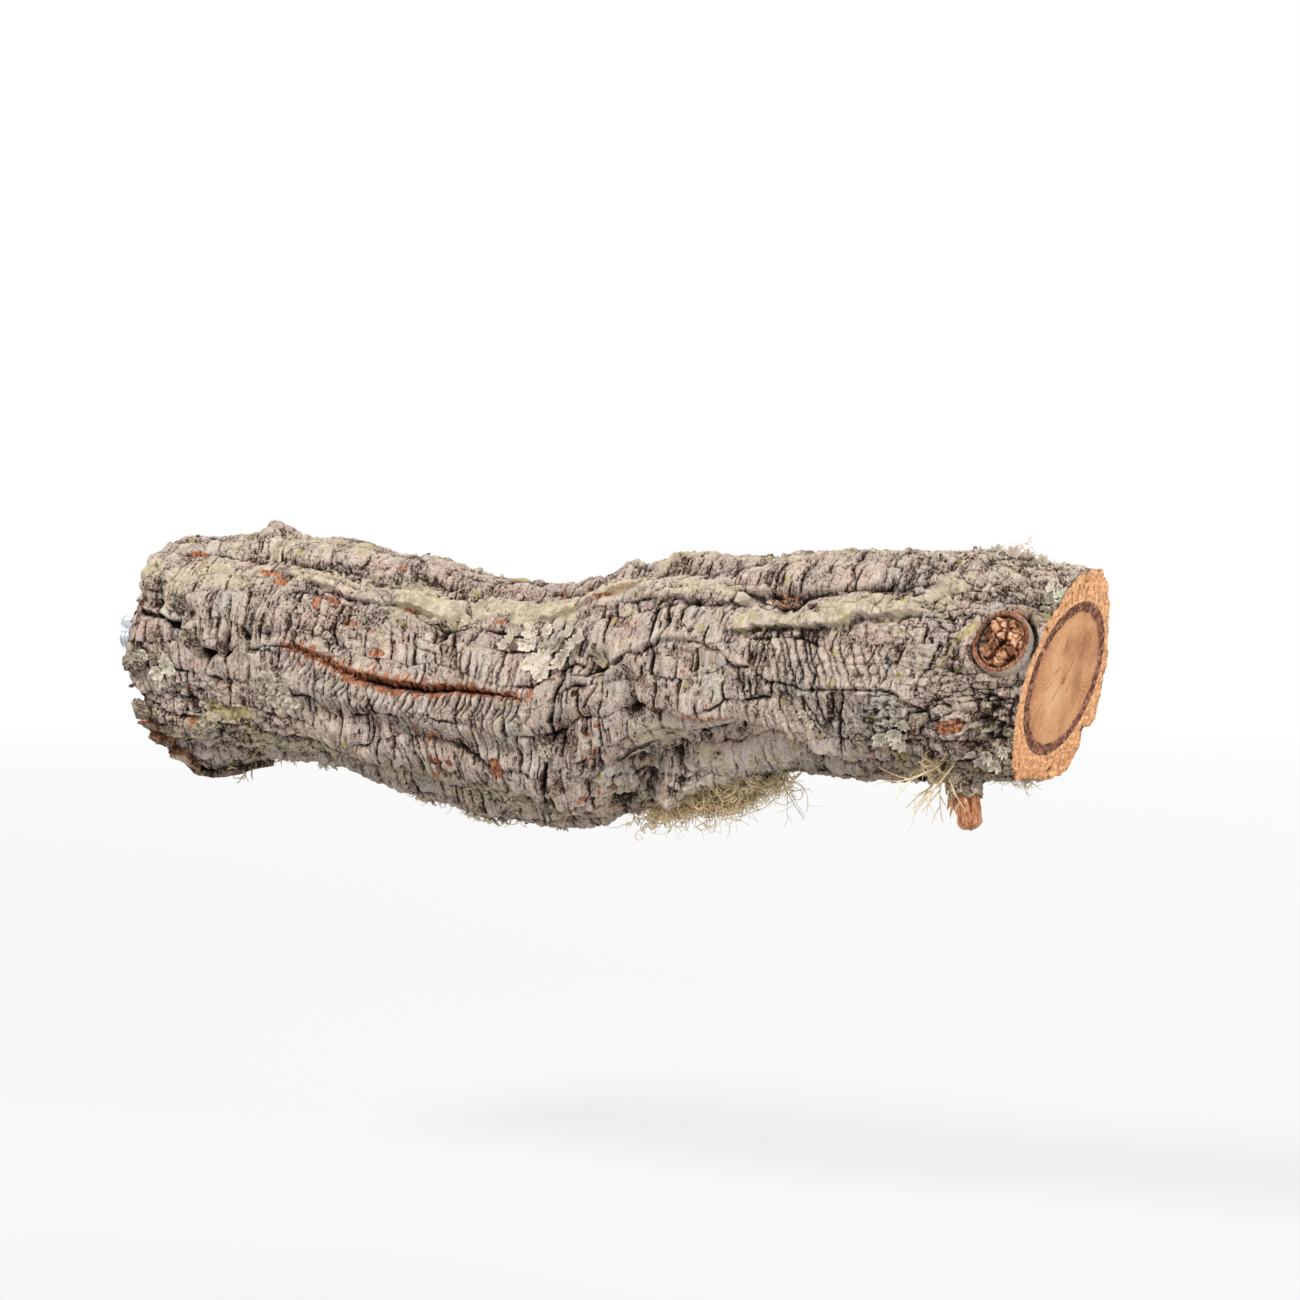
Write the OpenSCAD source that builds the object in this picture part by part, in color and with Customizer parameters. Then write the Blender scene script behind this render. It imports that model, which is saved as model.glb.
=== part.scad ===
// Natural cork-oak perch that bolts to the bars of a bird cage.
// +X runs out along the branch, +Z is up, and the origin is on the stud's axis,
// on the face of the inner washer that the cage bars press against.

/* [Branch] */
// Length from the mount face to the middle of the sawn end
branch_l = 285; // [200:1:400]
// Diameter of the wood
wood_d = 36.5; // [30:0.5:50]
// Thickness of the dark inner bark round the wood
inner_bark_t = 2.8; // [1:0.1:5]
// Mean thickness of the cork
cork_t = 12; // [9:0.5:18]
// Drop of the wood at the bend in the middle
bend_drop = 13; // [0:0.5:25]
// Lean of the sawn end in degrees, top outwards
saw_lean = 15.3; // [0:0.1:25]
// Turn of the sawn end in degrees, far side outwards
saw_turn = 4.9; // [0:0.1:12]

/* [Stub of the side branch] */
// Diameter of the stub over its bark
stub_d = 17; // [12:0.5:20]
// Thickness of the stub's bark ring
stub_bark_t = 1.6; // [0.8:0.1:3]
// Height of the stub above the cork
stub_rise = 1.2; // [1:0.1:6]
// Depth of the broken heart below the rim
stub_hollow = 2.2; // [1:0.1:4]
// Cork left between the stub and the sawn end
stub_margin = 0.5; // [0.5:0.1:20]

/* [Dead twig] */
// Diameter of the twig's wood
twig_d = 7; // [4:0.1:10]
// Thickness of the twig's bark
twig_bark_t = 1; // [0.5:0.1:2]
// Length of the twig below the cork
twig_l = 14; // [6:0.5:40]
// Length of the twig that still has bark
twig_bark_l = 6; // [2:0.5:6]
// Lean of the twig in degrees, tip towards the sawn end
twig_lean = 18; // [0:1:30]
// Diameter of the snag on the upper side
snag_d = 5; // [3:0.1:8]
// Height of the snag above its hollow
snag_l = 4; // [2:0.1:8]

/* [Lichen] */
// Thickness of a leafy lichen at its middle
leaf_t = 1.6; // [0.8:0.1:4]
// Hang of the large beard lichen
beard_t = 11; // [4:0.5:30]
// Hang of the small beard lichens
tuft_t = 6; // [2:0.5:20]

/* [Stud] */
// Diameter of the stud over its thread
stud_d = 6.35; // [5:0.05:8]
// Length of the stud beyond the mount face
stud_out = 20.3; // [20:0.1:60]
// Diameter of the stud's lead, beyond the nut
stud_lead_d = 6; // [4.6:0.05:6.15]
// Length of the stud's lead
stud_lead_l = 6; // [2:0.5:6]
// Length of the wood screw inside the branch
screw_l = 42; // [20:1:80]
// Diameter of the wood screw's core
screw_core_d = 4.4; // [3:0.1:4.8]
// Pitch of the wood screw
screw_pitch = 2.6; // [1.5:0.1:4]

/* [Washers] */
// Outside diameter of a washer
washer_d = 31.75; // [20:0.25:34]
// Play of a washer on the stud, across the diameter
washer_play = 0.8; // [0.2:0.1:3]
// Thickness of a washer
washer_t = 1.6; // [1:0.1:3]
// Gap between the washers that takes the cage bars
bar_gap = 5; // [3:0.1:8]

/* [Wing nut] */
// Diameter of the hub at the washer
hub_d = 12.5; // [12:0.1:18]
// Diameter of the hub at its outer end
hub_top_d = 10.4; // [10:0.1:12]
// Length of the hub
hub_h = 6.8; // [5:0.1:9]
// Span over both wings
wing_span = 22.5; // [22:0.5:44]
// Reach of the wings from the washer
wing_h = 10.6; // [10:0.1:20]
// Thickness of a wing
wing_t = 2.4; // [1.2:0.1:4]
// Radius of a wing's rounded tip
wing_tip_r = 3.2; // [2:0.1:5]
// Turn of the wings from upright in degrees, upper wing to the near side
wing_turn = 52; // [0:1:90]

/* [Hidden] */

// Clearances: running on the stud, grown-in pieces, and soft growth lying on the cork
run_gap = 0.05;
grown_gap = 0.05;
seat_gap = 0.3;
// Overrun of a cut past the face that it opens
overrun = 1;
// Chamfer at the stud's end
stud_chamfer = 0.8;
// Plain neck of the stud inside the wood, before the wood screw
neck_l = 4;
// Depth of the seats that the stub, twig and snag are grown into
seat_depth = 3;
// Thinnest edge of a lichen
growth_edge_t = 0.4;

wood_r = wood_d / 2;
liner_r = wood_r + inner_bark_t;
stud_r = stud_d / 2;
lead_r = min(stud_lead_d, stud_d) / 2;
stub_r = stub_d / 2;
twig_r = twig_d / 2;
snag_r = snag_d / 2;

// Counts of the grid: steps round and along the branch
round_n = 40;
cork_round_n = 2 * round_n;
along_n = 20;
cork_along_n = 66;

// The wood's middle line: [share of the length, share of bend_drop below the stud's axis]
bend_shares = [
    [0, 0], [0.1, 0.06], [0.2, 0.23], [0.3, 0.58], [0.4, 0.92], [0.48, 1],
    [0.56, 0.62], [0.64, 0.27], [0.72, 0.04], [0.84, 0], [1, 0.13]
];
// Cork over the wood at the top, underside and sides: [share of the length, share of cork_t]
top_shares = [
    [0, 0.78], [0.1, 1], [0.18, 1.16], [0.25, 1.04], [0.32, 1.1], [0.46, 0.95], [0.5, 1],
    [0.55, 1.14], [0.6, 1.22], [0.7, 0.9], [0.79, 1], [0.91, 1.06], [1, 0.68]
];
under_shares = [
    [0, 1.05], [0.05, 1.38], [0.12, 1.08], [0.2, 1.02], [0.25, 1.17], [0.32, 1.2], [0.44, 1.27],
    [0.5, 1.35], [0.55, 1.22], [0.6, 1.12], [0.66, 1.07], [0.745, 0.7], [0.8, 0.8],
    [0.92, 0.75], [0.97, 0.54], [1, 0.56]
];
side_shares = [[0, 0.95], [0.3, 1.02], [0.55, 1.1], [0.8, 0.95], [0.92, 0.7], [1, 0.3]];
// Least cork left under a furrow, as a share of cork_t
least_cork_share = 0.22;
// The long furrows: depth as a share of cork_t, width in degrees, and a route of
// [share of the length, degrees up from the near side]
furrow_shares = [
    [0.3, 8, [[0.1, 63], [0.3, 58], [0.45, 66], [0.55, 72], [0.66, 62]]],
    [0.5, 12, [[0.56, -44], [0.62, -40], [0.7, -34], [0.8, -52]]],
    [0.26, 8, [[0.2, -24], [0.3, -20], [0.45, -22], [0.54, -18]]],
    [0.34, 8, [[0.68, 44], [0.76, 42], [0.82, 47], [0.88, 50]]],
    [0.34, 9, [[0, -60], [0.2, -66], [0.4, -58], [0.52, -70]]],
    [0.4, 9, [[0.05, 100], [0.3, 110], [0.6, 96], [0.95, 104]]],
    [0.5, 8, [[0, 142], [0.25, 150], [0.5, 136], [0.75, 148], [1, 140]]],
    [0.42, 9, [[0.1, 186], [0.4, 176], [0.65, 190], [0.9, 182]]],
    [0.5, 8, [[0, 222], [0.3, 232], [0.55, 218], [0.8, 230], [1, 224]]],
    [0.36, 9, [[0.1, 262], [0.35, 256], [0.6, 268], [0.85, 260]]]
];
// Open fissures and grooves: depth as a share of cork_t, half width in degrees, and a route of
// [share of the length, degrees, how far open from 0 to 1]
fissure_shares = [
    [0.66, 4, [[0.16, 7, 0], [0.2, 7.5, 0.3], [0.25, 5, 0.55], [0.28, 1, 0.85], [0.32, 0, 1],
        [0.36, 2, 0.95], [0.4, 6, 0.7], [0.44, 6, 0.4], [0.48, 4, 0]]],
    [0.26, 4, [[0, 22, 0.4], [0.045, 16, 1], [0.075, 8, 0.8], [0.105, 0, 1], [0.13, -1, 0]]],
    [0.18, 4.5, [[0.54, 10, 0], [0.6, 16, 1], [0.655, 19, 1], [0.71, 2, 0.9], [0.76, -5, 1],
        [0.86, -8, 1], [0.9, -16, 1], [0.915, -26, 0]]]
];
// Cracks across the bark: depth as a share of cork_t, half width as a share of the length, and
// a route of [degrees, share of the length, how far open from 0 to 1]
crack_shares = [
    [0.24, 0.009, [[-56, 0.484, 0], [-46, 0.488, 1], [-30, 0.498, 1], [-12, 0.507, 1], [4, 0.514, 1],
        [14, 0.52, 0]]],
    [0.2, 0.008, [[-42, 0.815, 0], [-34, 0.817, 1], [-16, 0.819, 1], [-6, 0.82, 0]]],
    [0.2, 0.008, [[14, 0.62, 0], [20, 0.624, 1], [36, 0.626, 1], [44, 0.622, 0]]],
    [0.16, 0.009, [[66, 0.13, 0], [74, 0.14, 1], [92, 0.148, 1], [102, 0.144, 0]]]
];
// Steps in the bark, high on the upper side: height as a share of cork_t, reach in degrees, and
// a route of [share of the length, degrees, how high from 0 to 1]
ledge_shares = [
    [0.22, 9, [[0.61, -10, 0], [0.63, -15, 1], [0.665, -20, 1], [0.704, -28, 1], [0.74, -32, 1],
        [0.778, -39, 1], [0.8, -47, 0.6], [0.815, -52, 0]]],
    [0.2, 6, [[0.7, 21, 0], [0.735, 24, 1], [0.78, 24, 1], [0.84, 28, 1], [0.88, 33, 0]]],
    [0.13, 8, [[0.46, 44, 0], [0.52, 50, 1], [0.565, 60, 1], [0.61, 74, 0]]],
    [0.13, 9, [[0.01, -57, 0], [0.07, -64, 1], [0.135, -67, 1], [0.19, -66, 0]]],
    [0.12, 8, [[0.2, 200, 0], [0.3, 203, 1], [0.6, 206, 1], [0.7, 212, 0]]]
];
// Single knobs and hollows: [share of the length, degrees, width share, width in degrees,
// height share of cork_t]
knob_shares = [
    [0.125, 84, 0.018, 12, 0.34], [0.53, -74, 0.05, 22, 0.12], [0.15, 42, 0.03, 9, 0.12],
    [0.51, 22, 0.03, 10, 0.14], [0.62, -62, 0.035, 12, 0.2], [0.92, -50, 0.03, 14, 0.16],
    [0.37, 37, 0.012, 6, -0.3], [0.6, -12, 0.014, 6, -0.3],
    [0.75, 33, 0.025, 9, -0.2], [0.35, 170, 0.04, 16, 0.2], [0.7, 205, 0.05, 18, 0.18],
    [1, 238, 0.07, 13, 0.42], [1, 302, 0.06, 12, 0.26], [1, 60, 0.05, 12, 0.12],
    [1, 98, 0.05, 12, 0.1], [1, 150, 0.05, 20, -0.16],
    [0.29, -9, 0.09, 7, 0.09], [0.432, 16, 0.05, 11, 0.08], [0.813, 2, 0.062, 8, 0.07],
    [0.6, -48, 0.034, 9, -0.4], [0.61, -63, 0.018, 8, 0.16], [0.898, -8, 0.016, 8, 0.16],
    [0.937, -27, 0.024, 10, 0.16], [0.559, 13, 0.012, 6, -0.34], [0.1, -2, 0.012, 5, -0.34],
    [0.31, 82, 0.035, 9, 0.1], [0.23, 74, 0.045, 7, 0.09], [0.42, 200, 0.03, 10, 0.16],
    [0.665, 165, 0.034, 12, 0.15], [0.21, 240, 0.03, 10, 0.16], [0.83, 245, 0.034, 10, 0.13]
];

// Places of the pieces that grow out of the cork: share of the length, degrees
stub_angle = 24;
twig_share = 0.932;
twig_angle = -68;
snag_share = 0.742;
snag_angle = 39;

function eased(t) = t * t * (3 - 2 * t);

// Smooth value from a table of [place, value]
function along(table, x) =
    x <= table[0][0] ? table[0][1] :
    x >= table[len(table) - 1][0] ? table[len(table) - 1][1] :
    let (k = max([for (i = [0:len(table) - 2]) if (x >= table[i][0]) i]))
    let (t = (x - table[k][0]) / (table[k + 1][0] - table[k][0]))
    table[k][1] + (table[k + 1][1] - table[k][1]) * eased(t);

// Least turn between two angles in degrees
function turn_between(a, b) = let (d = (a - b) % 360) d > 180 ? d - 360 : d < -180 ? d + 360 : d;

function bell(t) = exp(-t * t);

function furrow_depth(f, u, a) =
    let (route = f[2], first = route[0][0], last = route[len(route) - 1][0])
    let (ends = min(1, max(0, (u - first) / 0.04 + 0.4)) * min(1, max(0, (last - u) / 0.04 + 0.4)))
    f[0] * ends * bell(turn_between(a, along(route, u)) / f[1]);

function places(route) = [for (p = route) [p[0], p[1]]];

function strengths(route) = [for (p = route) [p[0], p[2]]];

function fissure_depth(f, u, a) =
    f[0] * along(strengths(f[2]), u) * bell(turn_between(a, along(places(f[2]), u)) / f[1]);

function crack_depth(f, u, a) =
    let (facing = turn_between(a, 0))
    f[0] * along(strengths(f[2]), facing) * bell((u - along(places(f[2]), facing)) / f[1]);

function ledge_height(f, u, a) =
    let (gap = turn_between(a, along(places(f[2]), u)))
    f[0] * along(strengths(f[2]), u) * eased(min(1, max(0, gap / 4 + 0.5)))
        * bell(max(0, gap) / f[1]);

function knob_height(k, u, a) = k[4] * bell((u - k[0]) / k[2]) * bell(turn_between(a, k[1]) / k[3]);

function ripple(u, a) =
    0.05 * sin(3 * a + 420 * u) + 0.05 * sin(5 * a - 700 * u + 50) + 0.035 * sin(9 * a + 1500 * u);

function sum(values) = values * [for (v = values) 1];

// Cork thickness over the liner at a share of the length u and an angle a
function cork_thickness(u, a) =
    let (up = max(0, sin(a)), down = max(0, -sin(a)), side = along(side_shares, u))
    let (body = side + (along(top_shares, u) - side) * up * up
        + (along(under_shares, u) - side) * down * down)
    let (furrows = max([for (f = furrow_shares) furrow_depth(f, u, a)]))
    let (fissures = max([for (f = fissure_shares) fissure_depth(f, u, a)]))
    let (cracks = max([for (f = crack_shares) crack_depth(f, u, a)]))
    let (ledges = sum([for (f = ledge_shares) ledge_height(f, u, a)]))
    let (knobs = sum([for (k = knob_shares) knob_height(k, u, a)]))
    cork_t * max(least_cork_share,
        body * (1 + ripple(u, a)) + knobs + ledges - max(furrows * body, fissures, cracks));

function cork_r(u, a) = liner_r + cork_thickness(u, a);

// A point of the branch: share of the length, angle up from the near side, radius.
// The lean of the sawn end fades out towards the mount, and the first ring is flat.
function spot(u, a, r) =
    let (y = -r * cos(a), z = r * sin(a) - bend_drop * along(bend_shares, u))
    let (lean = tan(saw_lean) * (z + bend_drop * along(bend_shares, 1)) + tan(saw_turn) * y)
    [washer_t + u * (branch_l - washer_t) + pow(u, 4) * lean, y, z];

function grid_angle(j, n) = 360 * j / n;

// Two triangles of the cell between rows i, i + 1 and columns j, j + 1 of a grid
function cell(i, j, n, base = 0) =
    let (a = base + i * n + j, b = base + i * n + (j + 1) % n)
    [[a, b, b + n], [a, b + n, a + n]];

function flipped(faces) = [for (f = faces) [f[2], f[1], f[0]]];

function wall(rows, n, base = 0) =
    [for (i = [0:rows - 1], j = [0:n - 1], f = cell(i, j, n, base)) f];

function round_rings(rows, n, r) =
    [for (i = [0:rows], j = [0:n - 1]) spot(i / rows, grid_angle(j, n), r)];

// Solid of the branch out to a plain radius
module branch_rod(r) {
    last = along_n * round_n;
    polyhedron(
        round_rings(along_n, round_n, r),
        concat(
            wall(along_n, round_n),
            [[for (j = [round_n - 1:-1:0]) j]],
            [[for (j = [0:round_n - 1]) last + j]]
        )
    );
}

// Flat ring of faces between an outer and an inner ring of the same count
function even_ring(outer, inner, n) =
    [for (j = [0:n - 1]) let (k = (j + 1) % n)
        each [[outer + j, outer + k, inner + k], [outer + j, inner + k, inner + j]]];

// The same, where the outer ring has twice the count
function double_ring(outer, inner, n) =
    [for (j = [0:n - 1]) let (k = (j + 1) % n, m = 2 * j + 1, e = (2 * j + 2) % (2 * n))
        each [
            [outer + 2 * j, outer + m, inner + j],
            [outer + m, inner + k, inner + j],
            [outer + m, outer + e, inner + k]
        ]];

module inner_bark() {
    color("#5a3a30")
    {
        hole = (along_n + 1) * round_n;
        last = along_n * round_n;
        polyhedron(
            concat(round_rings(along_n, round_n, liner_r), round_rings(along_n, round_n, wood_r)),
            concat(
                wall(along_n, round_n),
                flipped(wall(along_n, round_n, hole)),
                flipped(even_ring(0, hole, round_n)),
                even_ring(last, hole + last, round_n)
            )
        );
    }
}

module cork_tube() {
    hole = (cork_along_n + 1) * cork_round_n;
    polyhedron(
        concat(
            [for (i = [0:cork_along_n], j = [0:cork_round_n - 1])
                let (u = i / cork_along_n, a = grid_angle(j, cork_round_n)) spot(u, a, cork_r(u, a))],
            round_rings(along_n, round_n, liner_r)
        ),
        concat(
            wall(cork_along_n, cork_round_n),
            flipped(wall(along_n, round_n, hole)),
            flipped(double_ring(0, hole, round_n)),
            double_ring(cork_along_n * cork_round_n, hole + along_n * round_n, round_n)
        )
    );
}

// Share of the length at which the stub clears the sawn end
stub_share = 1 - (stub_r + stub_margin) / (branch_l - washer_t);

function seat_r(u, a) = max(liner_r + cork_t * least_cork_share, cork_r(u, a) - seat_depth);

// Stands a shape on its seat in the cork, with +Z out of the branch
module on_seat(u, a, lean = 0) {
    translate(spot(u, a, seat_r(u, a))) rotate([90 - a, 0, 0]) rotate([0, lean, 0]) children();
}

// Height from the seat to the cork's own surface
function rise_from_seat(u, a) = cork_r(u, a) - seat_r(u, a);

module seat_hole(u, a, r, lean = 0) {
    on_seat(u, a, lean) cylinder(r = r + grown_gap, h = rise_from_seat(u, a) + cork_t);
}

module cork_bark() {
    color("#8d8378")
    difference() {
        cork_tube();
        seat_hole(stub_share, stub_angle, stub_r);
        seat_hole(twig_share, twig_angle, twig_r + twig_bark_t, twig_lean);
        seat_hole(snag_share, snag_angle, snag_r);
    }
}

module wood_core() {
    color("#c98d5f")
    difference() {
        branch_rod(wood_r);
        translate([washer_t - overrun, 0, 0]) rotate([0, 90, 0])
            cylinder(r = stud_r + run_gap, h = overrun + screw_l + stud_chamfer);
    }
}

stub_h = rise_from_seat(stub_share, stub_angle) + stub_rise;
twig_rise = rise_from_seat(twig_share, twig_angle);
twig_sleeve_h = min(twig_bark_l, twig_l / 2) + twig_rise;

module stub_bark() {
    color("#c77b4e")
    on_seat(stub_share, stub_angle)
    difference() {
        cylinder(r = stub_r, h = stub_h);
        translate([0, 0, -overrun]) cylinder(r = stub_r - stub_bark_t, h = stub_h + 2 * overrun);
    }
}

module stub_heart() {
    color("#8a4f33")
    on_seat(stub_share, stub_angle)
        cylinder(r = stub_r - stub_bark_t - grown_gap, h = max(stub_h - stub_hollow, stub_bark_t));
}

module twig_wood() {
    color("#b0714b")
    on_seat(twig_share, twig_angle, twig_lean) {
        cylinder(r = twig_r, h = twig_rise + twig_l - twig_r);
        translate([0, 0, twig_rise + twig_l - twig_r])
            cylinder(r1 = twig_r, r2 = twig_r * 0.7, h = twig_r);
    }
}

module twig_bark() {
    color("#7c7468")
    on_seat(twig_share, twig_angle, twig_lean)
    difference() {
        cylinder(r = twig_r + twig_bark_t, h = twig_sleeve_h);
        translate([0, 0, -overrun])
            cylinder(r = twig_r + grown_gap, h = twig_sleeve_h + 2 * overrun);
    }
}

module snag() {
    color("#7a4630")
    on_seat(snag_share, snag_angle)
        cylinder(r1 = snag_r, r2 = snag_r * 0.6, h = rise_from_seat(snag_share, snag_angle) + snag_l);
}

// Growth that lies on the cork: the cells of the cork's own grid inside an oval,
// lifted clear of it and thickest at the middle. The oval is [share of the length,
// degrees, half length share, half width in degrees].
module growth(oval, thick) {
    rows = cork_along_n;
    n = cork_round_n;
    i0 = max(0, floor((oval[0] - oval[2]) * rows));
    i1 = min(rows, ceil((oval[0] + oval[2]) * rows));
    j0 = floor((oval[1] - oval[3]) / 360 * n);
    j1 = ceil((oval[1] + oval[3]) / 360 * n);
    w = j1 - j0 + 1;
    count = (i1 - i0 + 1) * w;
    function off(i, j) = norm([
        (i / rows - oval[0]) / oval[2], (grid_angle(j, n) - oval[1]) / oval[3]]);
    function here(i, j) =
        i >= i0 && i < i1 && j >= j0 && j < j1 && off(i + 0.5, j + 0.5) < 1;
    function level(i, j, lift) =
        let (u = i / rows, a = grid_angle(j, n)) spot(u, a, cork_r(u, a) + seat_gap + lift);
    function at(i, j, top) = top * count + (i - i0) * w + (j - j0);
    polyhedron(
        concat(
            [for (i = [i0:i1], j = [j0:j1]) level(i, j, 0)],
            [for (i = [i0:i1], j = [j0:j1])
                level(i, j, growth_edge_t + thick * max(0, 1 - pow(off(i, j), 2)))]
        ),
        [for (i = [i0:i1 - 1], j = [j0:j1 - 1]) if (here(i, j)) each concat(
            [[at(i, j, 1), at(i, j + 1, 1), at(i + 1, j + 1, 1)],
             [at(i, j, 1), at(i + 1, j + 1, 1), at(i + 1, j, 1)],
             [at(i + 1, j + 1, 0), at(i, j + 1, 0), at(i, j, 0)],
             [at(i + 1, j, 0), at(i + 1, j + 1, 0), at(i, j, 0)]],
            here(i - 1, j) ? [] : [[at(i, j, 0), at(i, j + 1, 0), at(i, j + 1, 1), at(i, j, 1)]],
            here(i + 1, j) ? [] :
                [[at(i + 1, j + 1, 0), at(i + 1, j, 0), at(i + 1, j, 1), at(i + 1, j + 1, 1)]],
            here(i, j - 1) ? [] : [[at(i + 1, j, 0), at(i, j, 0), at(i, j, 1), at(i + 1, j, 1)]],
            here(i, j + 1) ? [] :
                [[at(i, j + 1, 0), at(i + 1, j + 1, 0), at(i + 1, j + 1, 1), at(i, j + 1, 1)]]
        )]
    );
}

// Places of the lichens: [share of the length, degrees, half length share, half width degrees]
leaf_middle_share = [0.502, 26, 0.04, 17];
leaf_mount_share = [0.047, -12, 0.028, 11];
leaf_low_share = [0.19, -13, 0.028, 10];
leaf_top_share = [0.955, 66, 0.045, 18];
leaf_end_share = [0.975, -46, 0.025, 13];
beard_middle_share = [0.645, -86, 0.08, 22];
beard_twig_share = [0.878, -72, 0.026, 15];
beard_mount_share = [0.085, -82, 0.04, 18];
beard_top_share = [0.918, 101, 0.022, 13];
beard_end_share = [0.965, -102, 0.03, 16];

module leafy(oval) {
    color("#c9c9ae") growth(oval, leaf_t);
}

module bearded(oval, hang) {
    color("#c8b878") growth(oval, hang);
}

module hanger_bolt() {
    core_r = screw_core_d / 2;
    turns = floor((screw_l - neck_l) / screw_pitch) - 1;
    start = washer_t + neck_l;
    lead_in = stud_out - stud_chamfer - stud_lead_l;
    color("#b9c2c8")
    rotate([0, 90, 0])
    rotate_extrude()
    polygon(concat(
        [[0, -stud_out], [lead_r - stud_chamfer, -stud_out], [lead_r, -stud_out + stud_chamfer],
         [lead_r, -lead_in], [stud_r, -lead_in], [stud_r, start], [core_r, start]],
        [for (k = [0:turns - 1]) each [
            [core_r, start + (k + 0.3) * screw_pitch],
            [stud_r - run_gap, start + (k + 0.6) * screw_pitch],
            [core_r, start + (k + 0.9) * screw_pitch]]],
        [[core_r, start + turns * screw_pitch], [0, washer_t + screw_l]]
    ));
}

module washer(x) {
    color("#c3cacf")
    translate([x, 0, 0]) rotate([0, 90, 0])
    difference() {
        cylinder(d = washer_d, h = washer_t);
        translate([0, 0, -overrun]) cylinder(d = stud_d + washer_play, h = washer_t + 2 * overrun);
    }
}

// One wing, flat in the plane of the nut's axis, with its round tip and straight flanks
module wing_outline() {
    tip = [wing_span / 2 - wing_tip_r, wing_h - wing_tip_r];
    translate(tip) circle(r = wing_tip_r);
    polygon([
        [stud_r + wing_t / 2, wing_t / 2], [hub_d / 2, wing_t / 2],
        tip + wing_tip_r * [cos(-40), sin(-40)], tip + wing_tip_r * [cos(140), sin(140)],
        [stud_r + wing_t / 2, hub_h - wing_t / 2]
    ]);
}

module wing_nut() {
    color("#c3cacf")
    translate([-bar_gap - washer_t - run_gap, 0, 0]) rotate([wing_turn, 0, 0]) rotate([0, -90, 0])
    difference() {
        union() {
            cylinder(r1 = hub_d / 2, r2 = hub_top_d / 2, h = hub_h);
            for (side = [0, 180])
                rotate([0, 0, side]) translate([0, wing_t / 2, 0]) rotate([90, 0, 0])
                    linear_extrude(wing_t) wing_outline();
        }
        translate([0, 0, -overrun]) cylinder(r = stud_r + run_gap, h = hub_h + 2 * overrun);
    }
}

hanger_bolt();
washer(0);  // inner_washer
washer(-bar_gap - washer_t);  // outer_washer
wing_nut();
wood_core();
inner_bark();
cork_bark();
stub_bark();
stub_heart();
twig_wood();
twig_bark();
snag();
leafy(leaf_middle_share);  // leaf_lichen_middle
leafy(leaf_mount_share);  // leaf_lichen_mount
leafy(leaf_low_share);  // leaf_lichen_low
leafy(leaf_top_share);  // leaf_lichen_top
leafy(leaf_end_share);  // leaf_lichen_end
bearded(beard_middle_share, beard_t);  // beard_lichen_middle
bearded(beard_twig_share, tuft_t);  // beard_lichen_twig
bearded(beard_mount_share, tuft_t);  // beard_lichen_mount
bearded(beard_top_share, tuft_t);  // beard_lichen_top
bearded(beard_end_share, tuft_t);  // beard_lichen_end
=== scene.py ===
"""Dresses a cork-oak cage perch: weathered cork, its sawn end, lichens and zinc-plated fastenings."""
import math

import bpy
import numpy as np
from bpy.props import FloatProperty, FloatVectorProperty, IntProperty, PointerProperty
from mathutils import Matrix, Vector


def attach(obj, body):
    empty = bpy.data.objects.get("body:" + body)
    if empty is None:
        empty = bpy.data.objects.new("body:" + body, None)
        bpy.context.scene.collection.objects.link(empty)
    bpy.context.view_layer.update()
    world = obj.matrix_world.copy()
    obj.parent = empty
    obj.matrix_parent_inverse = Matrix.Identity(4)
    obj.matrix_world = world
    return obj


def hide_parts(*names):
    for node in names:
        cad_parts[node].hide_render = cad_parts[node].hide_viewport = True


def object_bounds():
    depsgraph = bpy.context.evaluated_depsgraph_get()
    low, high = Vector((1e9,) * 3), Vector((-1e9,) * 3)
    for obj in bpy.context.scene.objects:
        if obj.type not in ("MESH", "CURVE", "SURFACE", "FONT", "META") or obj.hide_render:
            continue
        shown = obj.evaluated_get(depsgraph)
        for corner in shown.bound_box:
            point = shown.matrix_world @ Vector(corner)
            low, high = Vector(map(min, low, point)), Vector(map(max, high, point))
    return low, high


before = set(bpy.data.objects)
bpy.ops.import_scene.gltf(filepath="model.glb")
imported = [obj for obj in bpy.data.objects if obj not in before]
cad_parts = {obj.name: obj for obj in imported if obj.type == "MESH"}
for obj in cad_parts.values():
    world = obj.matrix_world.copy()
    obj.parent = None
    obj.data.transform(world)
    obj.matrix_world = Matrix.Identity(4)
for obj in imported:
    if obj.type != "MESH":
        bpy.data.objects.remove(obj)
cad_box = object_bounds()

bl_info = {
    "name": "Cork Oak Cage Perch",
    "version": (1, 0, 0),
    "blender": (4, 5, 0),
    "location": "View3D > Sidebar > Perch",
    "description": "Builds a natural cork-oak perch with its stud, washers and wing nut",
    "category": "Add Mesh",
}

MM = 0.001

# Sizes are in millimetres and angles in degrees. Angles round the branch go up from the near side.
# The branch's own sizes, the same as the solids have.
BRANCH_L = 285.0
WASHER_T = 1.6
SPAN = BRANCH_L - WASHER_T
WOOD_R = 18.25
LINER_R = 21.05
CORK_T = 12.0
BEND_DROP = 13.0
SAW_LEAN, SAW_TURN = math.radians(15.3), math.radians(4.9)
SEAT_DEPTH = 3.0
LEAST_CORK = 0.22
PILOT_R, PILOT_DEPTH = 3.225, 44.4
# Middle of the cut side branch's collar, and how far it is from the branch's middle line.
STUB_X, STUB_A, STUB_OUT = 276.4, 24, 25.5
HEART_R = 6.85

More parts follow.
